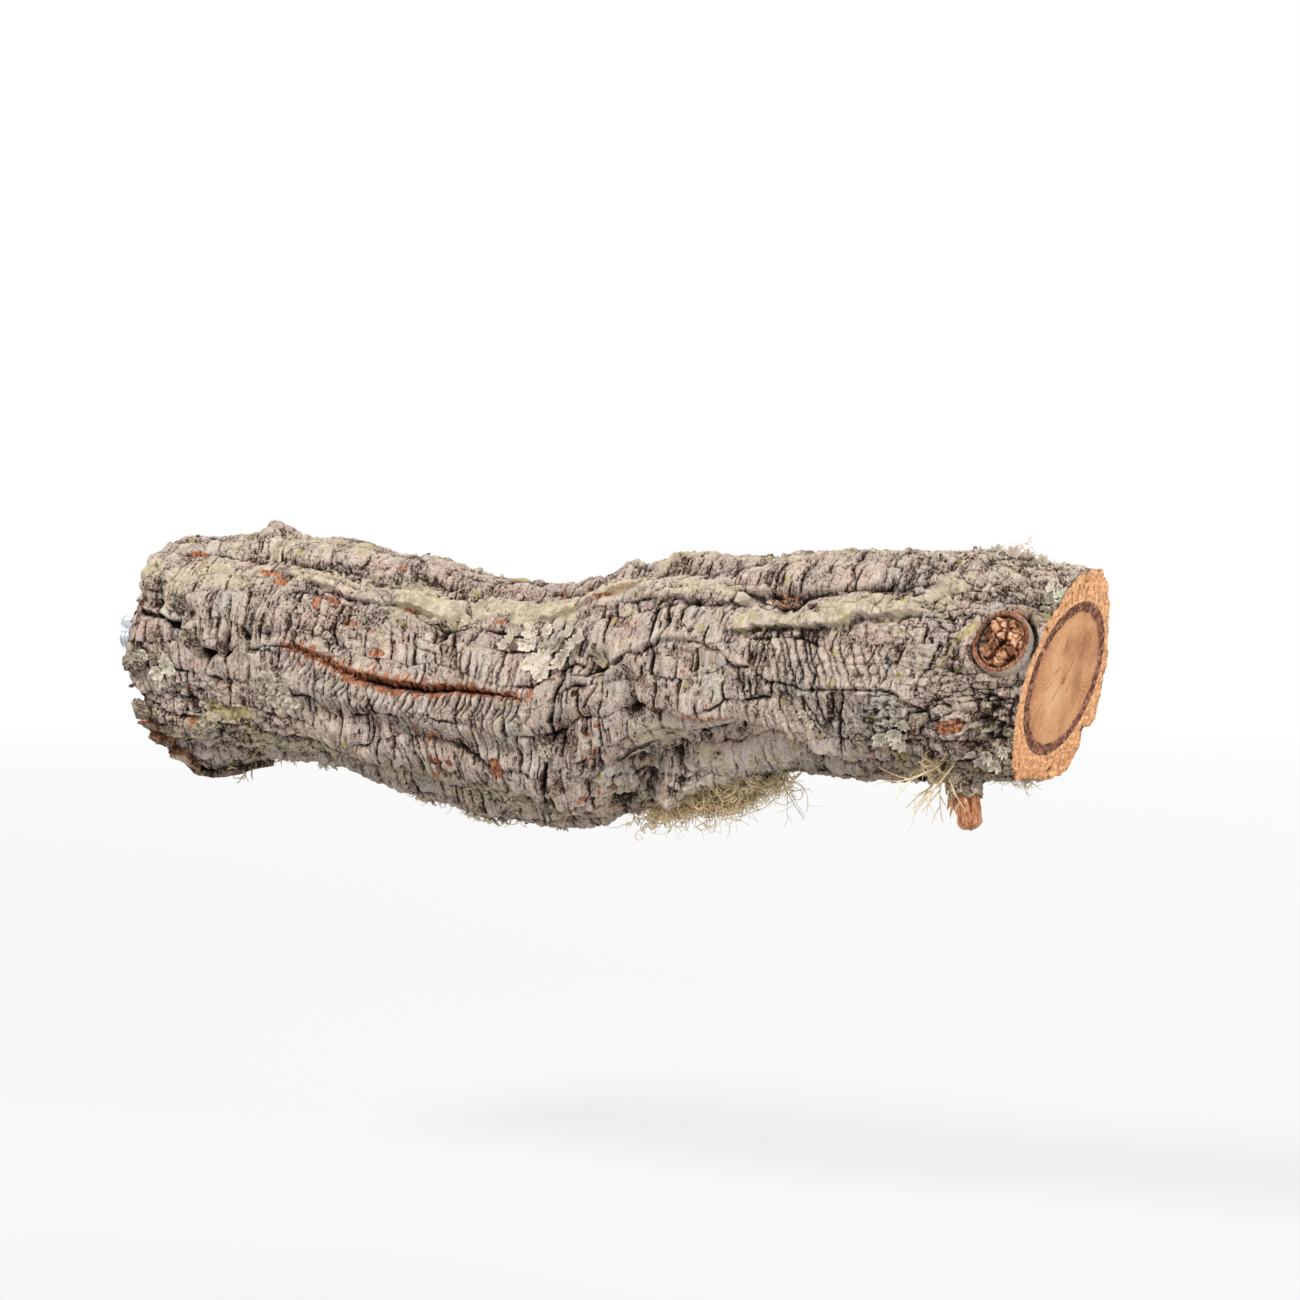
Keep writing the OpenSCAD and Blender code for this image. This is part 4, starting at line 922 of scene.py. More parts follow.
# Materials
class Shading:
    """A node tree with short ways to add to it. Vectors are object coordinates unless given."""

    def __init__(self, tree):
        self.tree = tree

    def feed(self, socket, value):
        """Links a socket to another one, or sets its value; three numbers are a colour's."""
        if isinstance(value, bpy.types.NodeSocket):
            self.tree.links.new(value, socket)
        elif socket.type == "RGBA":
            socket.default_value = (*tuple(value)[:3], 1.0)
        else:
            socket.default_value = value

    def node(self, kind, feeds=None, **settings):
        """A node of that kind. feeds gives sockets, by name or number, a value or another socket."""
        made = self.tree.nodes.new("ShaderNode" + kind)
        for key, value in settings.items():
            setattr(made, key, value)
        for key, value in (feeds or {}).items():
            self.feed(made.inputs[key], value)
        return made

    def math(self, operation, *values, clamp=False):
        """Result of a Math node."""
        return self.node("Math", dict(enumerate(values)), operation=operation, use_clamp=clamp).outputs[0]

    def add(self, value, by, total, clamp=False):
        """total, with by times the value added."""
        return self.math("MULTIPLY_ADD", value, by, total, clamp=clamp)

    def tilt(self, value, by, total, clamp=False, middle=0.5):
        """total, with by times the value's height above its middle added."""
        return self.add(self.math("SUBTRACT", value, middle), by, total, clamp)

    def past(self, value, level, by):
        """by times the value's height above a level, from 0 to 1."""
        return self.math("MULTIPLY", self.math("SUBTRACT", value, level), by, clamp=True)

    def blend(self, weight, first, second, way="MIX"):
        """Colour between first and second."""
        mix = self.node("Mix", data_type="RGBA", blend_type=way, clamp_factor=True)
        for socket, value in zip((mix.inputs[0], mix.inputs[6], mix.inputs[7]), (weight, first, second)):
            self.feed(socket, value)
        return mix.outputs[2]

    def cover(self, mask, by, under, over):
        """Colour under with the colour over on it, as far as by times the mask."""
        return self.blend(self.math("MULTIPLY", mask, by), under, over)

    def steps(self, value, *stops):
        """Colour ramp of [place, colour] stops."""
        made = self.node("ValToRGB", {0: value})
        elements = made.color_ramp.elements
        while len(elements) < len(stops):
            elements.new(0.5)
        for element, (place, colour) in zip(elements, stops):
            element.position = place
            element.color = (*colour, 1.0)
        return made.outputs[0]

    def noise(self, vector, scale, detail, roughness=0.5):
        """Noise from 0 to 1."""
        feeds = {"Vector": vector, "Scale": scale, "Detail": detail, "Roughness": roughness}
        return self.node("TexNoise", feeds).outputs[0]

    def parts(self, colour):
        """The three parts of a colour."""
        return self.node("SeparateColor", {0: colour}).outputs

    def masks(self, name):
        """The four parts of a point attribute."""
        found = self.node("Attribute", attribute_name=name).outputs
        return (*self.parts(found["Color"])[:3], found["Alpha"])

    def placed(self, grouped, feeds):
        """Outputs of a node group placed in the tree, with its inputs set or linked."""
        made = self.tree.nodes.new("ShaderNodeGroup")
        made.node_tree = grouped
        for key, value in feeds.items():
            self.feed(made.inputs[key], value)
        return made.outputs

    def grain(self, vector, squeeze, contrast):
        """The streaks' value."""
        feeds = {"Vector": vector, "Squeeze": squeeze, "Contrast": contrast}
        return self.placed(streaked_grain(), feeds)["Value"]

    def mottle(self, vector, scale, level, contrast, first, second):
        """The patches' colour and value."""
        return self.placed(mottle(), {"Vector": vector, "Scale": scale, "Level": level,
                                      "Contrast": contrast, "First": first, "Second": second})

    def flecks(self, vector, scale, size, portion):
        """The specks' mask."""
        feeds = {"Vector": vector, "Scale": scale, "Size": size, "Share": portion}
        return self.placed(flecks(), feeds)["Mask"]

    def shade(self, label, value):
        """Feeds the material's shader."""
        self.feed(self.tree.nodes["Principled BSDF"].inputs[label], value)

    def finish(self, colour, height, depth, strength):
        """Feeds the shader the colour and a bump from the height; the depth is in metres."""
        self.shade("Base Color", colour)
        bump = self.node("Bump", {"Height": height, "Distance": depth, "Strength": strength})
        self.shade("Normal", bump.outputs[0])


def group(name, inputs, outputs):
    """Makes a function that builds a shader node group into one that gives the group, built once.
    inputs are (name, kind, default) and outputs (name, kind)."""
    def wrap(build):
        def get():
            tree = bpy.data.node_groups.get(name)
            if tree:
                return tree
            tree = bpy.data.node_groups.new(name, "ShaderNodeTree")
            for label, kind, default in inputs:
                socket = tree.interface.new_socket(label, in_out="INPUT", socket_type="NodeSocket" + kind)
                if default is not None:
                    socket.default_value = default
            for label, kind in outputs:
                tree.interface.new_socket(label, in_out="OUTPUT", socket_type="NodeSocket" + kind)
            source, sink = tree.nodes.new("NodeGroupInput"), tree.nodes.new("NodeGroupOutput")
            for label, result in build(Shading(tree), source.outputs).items():
                tree.links.new(result, sink.inputs[label])
            return tree
        return get
    return wrap


@group("Streaked grain", [("Vector", "Vector", None), ("Squeeze", "Vector", (1, 1, 1)),
                          ("Contrast", "Float", 2.0)], [("Value", "Float")])
def streaked_grain(tree, given):
    """Streaks: noise that is squeezed along one axis, with a finer noise laid over it."""
    sizes = {0: given["Vector"], 1: given["Squeeze"]}
    squeezed = tree.node("VectorMath", sizes, operation="MULTIPLY").outputs[0]
    broad = tree.noise(squeezed, 1.0, 4.0, 0.62)
    narrow = tree.noise(squeezed, 3.1, 3.0, 0.6)
    both = tree.add(narrow, 0.45, tree.math("MULTIPLY", broad, 0.55))
    return {"Value": tree.tilt(both, given["Contrast"], 0.5, clamp=True)}


@group("Mottle", [("Vector", "Vector", None), ("Scale", "Float", 200.0), ("Level", "Float", 0.5),
                  ("Contrast", "Float", 4.0), ("First", "Color", (0, 0, 0, 1)),
                  ("Second", "Color", (1, 1, 1, 1))], [("Colour", "Color"), ("Value", "Float")])
def mottle(tree, given):
    """Patches of two colours with soft borders, from a noise of a given scale."""
    patch = tree.noise(given["Vector"], given["Scale"], 5.0, 0.65)
    value = tree.tilt(patch, given["Contrast"], 0.5, clamp=True, middle=given["Level"])
    return {"Colour": tree.blend(value, given["First"], given["Second"]), "Value": value}


@group("Flecks", [("Vector", "Vector", None), ("Scale", "Float", 600.0), ("Size", "Float", 0.3),
                  ("Share", "Float", 0.2)], [("Mask", "Float")])
def flecks(tree, given):
    """Small round specks: one for each cell of a cell pattern, where the cell's number is high."""
    cell = tree.node("TexVoronoi", {"Vector": given["Vector"], "Scale": given["Scale"]})
    size = tree.math("SUBTRACT", given["Size"], cell.outputs["Distance"])
    speck = tree.math("MULTIPLY", size, 8.0, clamp=True)
    red = tree.parts(cell.outputs["Color"])[0]
    chosen = tree.math("GREATER_THAN", given["Share"], red)
    return {"Mask": tree.math("MULTIPLY", speck, chosen)}


def material(name, roughness, specular, metallic=0.0):
    """Makes a function that paints a material into one that gives the material, painted once. The
    function is given the tree, the object coordinates and the perch's colours."""
    def wrap(paint):
        def get():
            made = bpy.data.materials.get(name)
            if made:
                return made
            made = bpy.data.materials.new(name)
            made.use_nodes = True
            tree = Shading(made.node_tree)
            tree.shade("Roughness", roughness)
            tree.shade("Metallic", metallic)
            tree.shade("Specular IOR Level", specular)
            paint(tree, tree.node("TexCoord").outputs["Object"], bpy.context.scene.perch_colours)
            return made
        return get
    return wrap


@material("Weathered cork", 0.92, 0.15)
def weathered_cork(tree, place, shades):
    """Taupe layers with painted shade in the seams and hollows and a painted highlight on raised parts,
    pale crust, film, moss and fresh orange cork.
    """
    pitch = tree.node("Attribute", attribute_name="grain").outputs["Vector"]
    fresh, crusted, hollow, proud = tree.masks("wear")
    mossed, filmed, seams, layer = tree.masks("growth")
    streak = tree.grain(pitch, (1.9, 0.5, 1.0), 3.0)
    dust = tree.noise(place, 1250.0, 3.0, 0.8)
    patch = tree.noise(place, 120.0, 4.0, 0.6)
    tone = 0.60
    for value, by in ((streak, 0.75), (layer, 0.7), (dust, 2.1), (patch, 1.0)):
        tone = tree.tilt(value, by, tone)
    # raised parts painted lighter as a highlight, seams and hollows painted darker as shade
    tone = tree.add(proud, 0.16, tone)
    tone = tree.add(seams, -0.6, tone)
    tone = tree.add(hollow, -0.42, tone, clamp=True)
    colour = tree.steps(tone, (0.0, (0.045, 0.026, 0.017)), (0.22, (0.155, 0.107, 0.082)),
                        (0.5, shades.bark), (0.78, (0.67, 0.56, 0.485)), (1.0, (0.82, 0.72, 0.64)))
    warm = tree.mottle(place, 85.0, 0.5, 3.0, (0.95, 1.0, 1.0), (1.10, 0.98, 0.92))["Colour"]
    colour = tree.blend(1.0, colour, warm, "MULTIPLY")

    film = tree.past(tree.tilt(patch, 2.2, filmed), 0.3, 1.8)
    colour = tree.blend(tree.math("MULTIPLY", film, 0.85), colour, (0.60, 0.59, 0.50), "MULTIPLY")
    crumbs = tree.mottle(place, 360.0, 0.47, 5.5, (0.50, 0.42, 0.32), shades.crust)["Colour"]
    green = tree.mottle(place, 70.0, 0.5, 3.5, (1.06, 1.02, 1.04), (0.98, 0.985, 0.82))["Colour"]
    crumbs = tree.blend(1.0, crumbs, green, "MULTIPLY")
    cover = tree.tilt(patch, 2.8, tree.tilt(dust, 2.4, crusted))
    cover = tree.past(tree.add(seams, -0.35, cover), 0.24, 2.8)
    colour = tree.cover(cover, 0.88, colour, crumbs)
    specks = tree.flecks(place, 320.0, 0.42, 0.045)
    mossy = tree.tilt(dust, 1.4, tree.tilt(patch, 2.2, mossed))
    mossy = tree.math("MAXIMUM", tree.past(mossy, 0.5, 3.0), specks)
    colour = tree.cover(mossy, 0.68, colour, (0.58, 0.49, 0.17))

    torn = tree.grain(place, (1500, 300, 300), 4.0)
    flesh = tree.steps(torn, (0.1, (0.17, 0.045, 0.016)), (0.45, shades.fresh),
                       (0.9, (0.80, 0.43, 0.27)))
    colour = tree.blend(tree.past(tree.tilt(dust, 1.2, fresh), 0.42, 4.0), colour, flesh)
    # near-black painted shade deep in the hollows and the orange fissure's core
    colour = tree.cover(tree.past(hollow, 0.45, 2.2), 0.9, colour, (0.012, 0.007, 0.005))
    tree.finish(colour, tree.add(dust, 1.2, streak), 0.0005, 1.0)


@material("Sawn cork", 0.88, 0.25)
def sawn_cork(tree, place, shades):
    """Bright orange-tan crumbs with dark pores and torn orange patches, with painted shade in the cracks
    and darker at the outer edge.
    """
    crumbs = tree.mottle(place, 900.0, 0.42, 4.5, (0.74, 0.34, 0.15), shades.sawn_cork)
    pores = tree.flecks(place, 1150.0, 0.42, 0.15)
    colour = tree.cover(pores, 0.7, crumbs["Colour"], (0.34, 0.115, 0.05))
    torn, _, hollow, _ = tree.masks("wear")
    colour = tree.cover(torn, 0.5, colour, (0.62, 0.25, 0.12))
    # painted shade in the cracks, and darker at the outer edge
    colour = tree.blend(hollow, colour, (0.09, 0.035, 0.02))
    tree.finish(colour, tree.math("SUBTRACT", crumbs["Value"], pores), 0.0005, 0.9)


@material("Sawn wood", 0.7, 0.3)
def sawn_wood(tree, place, shades):
    """End grain: rings and rays about the pith, pale and dark sectors, and drying checks with painted shade
    in them, darker at the rim.
    """
    from_pith = tree.node("VectorMath", {0: place, 1: (0, 0, PITH_DROP * MM)}, operation="ADD").outputs[0]
    parts = tree.node("SeparateXYZ", {0: from_pith}).outputs
    squares = tree.add(parts[1], parts[1], tree.math("MULTIPLY", parts[2], parts[2]))
    radius = tree.math("SQRT", squares)
    angle = tree.math("ARCTAN2", parts[2], parts[1])
    polar = {0: tree.math("MULTIPLY", radius, 1000.0), 1: tree.math("MULTIPLY", angle, 9.0)}
    polar = tree.node("CombineXYZ", polar).outputs[0]
    rays = tree.grain(polar, (0.3, 3.4, 1.0), 3.4)
    rings = tree.grain(polar, (1.1, 0.12, 1.0), 2.0)
    tone = tree.tilt(rings, 0.45, tree.tilt(rays, 0.6, 0.52))
    tone = tree.tilt(tree.noise(place, 70.0, 3.0), 1.8, tone)
    tone = tree.add(tree.past(radius, 0.0135, 90.0), -0.34, tone, clamp=True)
    colour = tree.steps(tone, (0.0, (0.27, 0.105, 0.045)), (0.5, shades.wood), (1.0, (0.78, 0.46, 0.25)))
    _, pale, hollow, _ = tree.masks("wear")
    colour = tree.cover(pale, 0.6, colour, (0.78, 0.47, 0.25))
    # painted shade in the drying checks, and darker at the rim
    colour = tree.blend(hollow, colour, (0.13, 0.05, 0.022))
    tree.finish(colour, rays, 0.0002, 0.4)


@material("Inner bark", 0.8, 0.25)
def fibrous_bark(tree, place, shades):
    """Purplish-brown fibres with paler dots."""
    fibre = tree.mottle(place, 640.0, 0.47, 7.0, (0.14, 0.05, 0.03), shades.inner_bark)
    dots = tree.flecks(place, 640.0, 0.42, 0.32)
    colour = tree.cover(dots, 0.7, fibre["Colour"], (0.60, 0.36, 0.25))
    _, pale, hollow, _ = tree.masks("wear")
    colour = tree.blend(pale, colour, (0.62, 0.32, 0.17))
    colour = tree.blend(hollow, colour, (0.06, 0.02, 0.012))
    tree.finish(colour, fibre["Value"], 0.0005, 0.9)


@material("Rotten wood", 0.85, 0.25)
def rotten_wood(tree, place, shades):
    """Reddish-brown splinters, pale where they broke, with painted shade in the gaps, cracks and furrows.
    """
    fibre = tree.grain(place, (1500, 1500, 260), 3.6)
    colour = tree.steps(fibre, (0.1, (0.14, 0.040, 0.018)), (0.5, shades.rotten),
                        (0.9, (0.70, 0.42, 0.28)))
    _, pale, hollow, _ = tree.masks("wear")
    colour = tree.cover(pale, 0.8, colour, (0.86, 0.52, 0.31))
    # painted shade in the gaps, cracks, furrows and low places
    colour = tree.blend(hollow, colour, (0.050, 0.013, 0.005))
    tree.finish(colour, fibre, 0.0004, 0.7)


@material("Leafy lichen", 0.88, 0.25)
def leafy_lichen(tree, place, shades):
    """Pale grey-green and mealy, with a painted highlight on the margins, painted shade in the middle and
    on the warm undersides, and brown where a frond is brown.
    """
    meal = tree.mottle(place, 420.0, 0.5, 3.0, (0.50, 0.43, 0.34), shades.leafy)
    green, rim, dark, _ = tree.masks("wear")
    colour = tree.blend(green, meal["Colour"], (0.52, 0.55, 0.38))
    # a painted highlight on the margins, then painted shade in the middles and undersides, with the fronds'
    # own brown and mottling
    colour = tree.blend(rim, colour, (0.82, 0.73, 0.61))
    colour = tree.blend(dark, colour, (0.17, 0.125, 0.09))
    tree.finish(colour, meal["Value"], 0.0003, 0.6)


@material("Beard lichen", 0.8, 0.25)
def beard_lichen(tree, place, shades):
    """Straw-yellow threads, browner in places."""
    tint = tree.mottle(place, 160.0, 0.5, 3.0, (0.50, 0.375, 0.20), shades.bearded)
    tree.finish(tint["Colour"], tint["Value"], 0.0001, 0.3)


@material("Bright zinc plate", 0.32, 0.5, metallic=1.0)
def zinc_plate(tree, place, shades):
    """Bluish metal with faint clouding and fine scratches."""
    cloud = tree.mottle(place, 240.0, 0.5, 2.0, (0.50, 0.56, 0.60), shades.zinc)
    scratch = tree.grain(place, (2600, 300, 300), 2.6)
    tree.shade("Roughness", tree.add(scratch, 0.22, 0.22))
    tree.finish(cloud["Colour"], scratch, 0.00005, 0.25)


def seen(tree):
    """1 where the camera looks, straight or by way of glass or a mirror, and 0 for other light."""
    path = tree.node("LightPath").outputs
    others = tree.math("MAXIMUM", path["Is Glossy Ray"], path["Is Transmission Ray"])
    return tree.math("MAXIMUM", path["Is Camera Ray"], others)


def whitened(tree, weight, usual, white, output):
    """Feeds the output the usual shader, with the white one in its place by the weight."""
    both = tree.node("MixShader", {0: weight, 1: usual.outputs[0], 2: white.outputs[0]})
    tree.feed(tree.tree.nodes[output].inputs[0], both.outputs[0])


@material("Pale floor", 0.95, 0.0)
def pale_floor(tree, place, shades):
    """Pale grey that the camera sees lifted to white, wholly so far from the perch."""
    tree.shade("Base Color", (0.55, 0.55, 0.55))
    away = tree.node("VectorMath", {0: place}, operation="LENGTH").outputs["Value"]
    lifted = tree.node("MapRange", {0: away, 1: 0.45, 2: 1.6, 3: 0.7, 4: 1.0}).outputs[0]
    white = tree.node("Emission", {0: (1, 1, 1), 1: 1.0})
    usual = tree.tree.nodes["Principled BSDF"]
    whitened(tree, tree.math("MULTIPLY", seen(tree), lifted), usual, white, "Material Output")


# Settings
def length_setting(name, description, default, least, most):
    """A length in metres."""
    return FloatProperty(name=name, description=description, default=default, min=least, max=most,
                         subtype="DISTANCE", unit="LENGTH")


def colour_setting(name, description, default):
    """A colour."""
    return FloatVectorProperty(name=name, description=description, default=default, size=3, min=0, max=1,
                               subtype="COLOR")


class PerchSizes(bpy.types.PropertyGroup):
    """Sizes and counts of the dressed perch."""
    relief: FloatProperty(name="Relief", description="How far the bark's bands and layers stand out",
                          default=1.0, min=0.0, max=1.5, subtype="FACTOR")
    rows_along: IntProperty(name="Rows along", description="Rows of the bark's grid along the branch",
                            default=880, min=100, max=1000)
    columns_round: IntProperty(name="Columns round", description="Columns of the bark's grid round it",
                               default=600, min=72, max=720)
    sections: IntProperty(name="Sections", description="Pieces that the long bark is made of",
                          default=7, min=1, max=10)
    thread_pitch: length_setting("Thread pitch", "Pitch of the stud's machine thread",
                                 0.00127, 0.0008, 0.002)
    screw_pitch: length_setting("Screw pitch", "Pitch of the wood screw inside the branch",
                                0.0026, 0.0015, 0.004)
    strand: length_setting("Strand", "Thickness of a beard lichen's thread", 0.00022, 0.0001, 0.001)


class PerchColours(bpy.types.PropertyGroup):
    """Colours of the perch's finishes."""
    bark: colour_setting("Bark", "Weathered cork", (0.52, 0.418, 0.362))
    crust: colour_setting("Crust", "Pale crust of lichen", (0.82, 0.71, 0.56))
    fresh: colour_setting("Fresh cork", "Cork where it has chipped or split", (0.52, 0.20, 0.10))
    sawn_cork: colour_setting("Sawn cork", "Cork at the sawn end", (0.97, 0.52, 0.26))
    wood: colour_setting("Wood", "Wood at the sawn end", (0.60, 0.285, 0.13))
    inner_bark: colour_setting("Inner bark", "Dark ring between wood and cork", (0.36, 0.155, 0.098))
    rotten: colour_setting("Rotten wood", "Heart of the stub, dead twig and snag", (0.52, 0.205, 0.085))
    leafy: colour_setting("Leafy lichen", "Lobes of the leafy lichens", (0.73, 0.63, 0.515))
    bearded: colour_setting("Beard lichen", "Threads of the beard lichens", (0.80, 0.655, 0.42))
    zinc: colour_setting("Zinc", "Plating of the stud, washers and nut", (0.80, 0.84, 0.87))


# Operators
class PERCH_OT_camera(bpy.types.Operator):
    """Sets the camera at the photographed angle"""
    bl_idname = "perch.camera"
    bl_label = "Camera"

    def execute(self, context):
        lens = bpy.data.cameras.new("view")
        lens.sensor_width = VIEW_SENSOR
        lens.lens = VIEW_LENS
        lens.clip_start, lens.clip_end = 0.05, 60.0
        view = bpy.data.objects.new("view", lens)
        view.location = VIEW_PLACE
        view.rotation_euler = (math.radians(90 - VIEW_DOWN), 0.0, math.radians(VIEW_TURN))
        context.scene.collection.objects.link(view)
        context.scene.camera = view
        return {"FINISHED"}


class PERCH_OT_cork(bpy.types.Operator):
    """Builds the cork bark in sections that meet face to face, with its torn and its sawn end"""
    bl_idname = "perch.cork"
    bl_label = "Cork bark"

    def execute(self, context):
        bark = bark_grid()
        rows, n = bark["r"].shape[0] - 1, bark["r"].shape[1]
        angles = (np.arange(n) * 360 / n)[None]
        liner = LINER_R + FIT
        cuts = np.linspace(0, rows, context.scene.perch_sizes.sections + 1).astype(int)
        for k, (low, high) in enumerate(zip(cuts[:-1], cuts[1:])):
            u, a, r = (bark[key][low:high + 1] for key in ("u", "a", "r"))
            loops, masks = [], {"wear": [], "growth": [], "grain": []}

            def add(points, **given):
                """Adds rings of points, with their masks, which are 0 where they aren't given."""
                loops.append(points)
                for key, parts in (("wear", 4), ("growth", 4), ("grain", 3)):
                    blank = np.zeros((*points.shape[:2], parts))
                    masks[key].append(given.get(key, blank))

            def end_rings(end_u, edge, edge_a, count):
                """Rings of a flat end, from the bark's edge to the liner, and their shares inwards."""
                t = np.linspace(0, 1, count + 2)[1:-1, None]
                radius = edge[None] * (1 - t) + liner * t
                return spot(end_u, edge_a[None] * (1 - t) + angles * t, radius), t

            outer = spot(u, a, r)
            if low == 0:
                # the mount end is torn: its edge runs in and out, further where the bark is split
                torn = 1.6 * noise(outer, 7, 51, 2) + 1.2 * noise(outer, 2.2, 52) + 1.1
                torn = torn + 5.0 * ramp(noise(outer * (0.2, 1, 1), 9, 53), 0.45, 0.9)
                torn = torn * (1 - 0.7 * bell(turn(a, 70) / 36)) + 3.6 * bell(turn(a, 20) / 13)
                reach = share(9.0)
                torn = torn * ramp(reach - u, 0.0, reach) * ramp(r, LINER_R + 1, LINER_R + 5)
                outer[..., 0] += torn
            add(outer, **{key: bark[key][low:high + 1] for key in masks})

            if high == rows:
                end, t = end_rings(1.0, r[-1], a[-1], 18)
                rough = noise(end, 1.3, 61, 2)
                crack = np.zeros(end.shape[:2])
                for where, width, start, stop in SAWN_CRACKS:
                    gap = np.radians(turn(angles, where)) * 26 + 0.6 * rough
                    there = ramp(t, start - 0.05, start) * ramp(t, stop, stop - 0.1)
                    crack = np.maximum(crack, bell(gap / width) * there)
                torn = ramp(-end[..., 2], 12, 24) * (1 - t)
                ruts = noise(vector(0, angles * 0.45, 3 * t), 1.0, 65, 2)
                end[..., 0] += (0.3 + 0.5 * torn) * rough - 0.9 * crack - 0.7 * torn * np.abs(ruts)
                orange = np.clip(torn * (0.5 + 0.8 * noise(end, 2.4, 66, 2)), 0, 1)
                # painted shade in the cracks, and darker at the outer edge
                dark = np.clip(crack + 0.5 * ramp(1 - t, 0.93, 1.0), 0, 1)
                add(end, wear=vector(orange, 0, dark, 0))

            add(spot(np.linspace(u[-1, 0], u[0, 0], 7)[:, None], angles, liner))
            if low == 0:
                end, t = end_rings(0.0, r[0], a[0], 14)
                end, t = end[::-1], t[::-1]
                edge = outer[:1, :, 0]
                lumps = 0.5 * noise(end, 2.0, 62, 2) * (1 - t)
                end[..., 0] = WASHER_T + (edge - WASHER_T) * (1 - t) ** 1.5 + lumps
                orange = 0.62 + 0.3 * noise(end, 4, 63)
                dark = 0.35 * np.clip(noise(end, 2.4, 64), 0, 1)
                add(end, wear=vector(orange, 0, dark, 0), grain=end)

            points = np.concatenate(loops)
            paint = np.zeros((len(points), n))
            if high == rows:
                paint[len(outer) - 1:len(outer) + len(loops[1])] = 1
            piece(f"cork_bark_{k + 1}", points, [grid_faces(len(points), n, True)], "cork",
                  [weathered_cork(), sawn_cork()], ["cork_bark"],
                  {key: np.concatenate(values) for key, values in masks.items()}, paint, 65)
        return {"FINISHED"}


class PERCH_OT_wood(bpy.types.Operator):
    """Builds the wood with its pilot hole and the inner bark round it, with a toothed join"""
    bl_idname = "perch.wood"
    bl_label = "Wood and inner bark"

    def execute(self, context):
        n = 432
        a = (np.arange(n) * 360 / n)[None]
        r = np.radians(a)
        teeth = (0.42 * np.abs(np.sin(r * 43 + np.sin(r * 7))) - 0.3 + 0.22 * np.sin(r * 17 + 1)
                 + 0.15 * np.sin(r * 5))
        within = WOOD_R - FIT

        def hole(x, radius):
            """A straight ring about the stud's axis."""
            return vector(x, -radius * np.cos(r), radius * np.sin(r))

        rows = [hole(PILOT_DEPTH, PILOT_R * 0), hole(PILOT_DEPTH, PILOT_R)]
        rows += [hole(x, PILOT_R) for x in np.linspace(PILOT_DEPTH, WASHER_T, 8)[1:]]
        rows += [spot(0.0, a, PILOT_R + (within - PILOT_R) * t) for t in np.linspace(0.1, 1, 9)]
        rows += [spot(u, a, within) for u in np.linspace(0, 1, 30)[1:-1]]
        inwards = np.linspace(1, 0, 46)[:, None]
        face = spot(1.0, a, np.maximum(inwards * (within + teeth), 0.0))
        rough = noise(face, 0.9, 71, 2)
        rays = noise(vector(inwards * 3.0, a / 3.0, 0), 1.0, 72, 2)
        y, z = face[..., 1], face[..., 2] + PITH_DROP
        checks = np.zeros_like(y)
        for cy, cz, reach, wide, lean in DRYING_CHECKS:
            c, s = math.cos(math.radians(lean)), math.sin(math.radians(lean))
            onwards = (y - cy) * c + (z - cz) * s
            off = (z - cz) * c - (y - cy) * s + 0.1 * rough
            checks = np.maximum(checks, bell(off / wide) * ramp(reach - np.abs(onwards), 0, 0.8))
        face[..., 0] += 0.05 * rough + 0.09 * rays - 0.5 * checks
        points = np.concatenate([row.reshape(-1, n, 3) for row in rows] + [face])
        shade = np.zeros((*points.shape[:2], 4))
        pale = 0.9 * bell((y + 0.5) / 6.0) * bell((z + 0.5) / 8.5) * (0.6 + 0.6 * noise(face, 5, 73, 2))
        shade[-len(face):, :, 1] = np.clip(pale, 0, 1)
        # painted shade in the drying checks, and darker at the very rim
        shade[-len(face):, :, 2] = np.clip(checks + 0.6 * ramp(inwards, 0.965, 1.0), 0, 1)
        points, faces, shade = poled(points, shade)
        piece("wood_core_sawn", points, faces, "wood", [sawn_wood()], ["wood_core"], {"wear": shade})

        # the inner bark: out along the cork, across the sawn end, back along the wood, mount end
        t = np.linspace(0, 1, 12)[:, None]
        near_cork, near_wood = LINER_R - GAP, WOOD_R + GAP
        ring = spot(1.0, a, near_cork * (1 - t) + (near_wood + teeth) * t)
        fuzz = noise(ring, 0.7, 74, 2)
        ring[..., 0] += (0.28 * fuzz - 0.18) * np.sin(math.pi * np.clip(t, 0.02, 0.98))
        outer = spot(np.linspace(0, 1, 30)[:-1, None], a, near_cork)
        inner = spot(np.linspace(1, 0, 12)[1:, None], a, near_wood)
        base = spot(0.0, a, near_wood + (near_cork - near_wood) * np.array([[0.34], [0.67]]))
        points = np.concatenate([outer, ring, inner, base])
        fibres = noise(vector(np.cos(r) * 20, np.sin(r) * 20, 2.5 * t), 0.8, 75, 2)
        border = ramp(np.abs(t - 0.5), 0.16, 0.48)
        shade = np.zeros((len(points), n, 4))
        end = slice(len(outer), len(outer) + len(ring))
        shade[end, :, 1] = border * ramp(-fibres, 0.15, 0.5)
        shade[end, :, 2] = np.clip((0.25 + border) * ramp(fibres, 0.1, 0.5), 0, 1)
        piece("inner_bark_fibres", points, [grid_faces(len(points), n, True)], "inner_bark",
              [fibrous_bark()], ["inner_bark"], {"wear": shade})
        return {"FINISHED"}


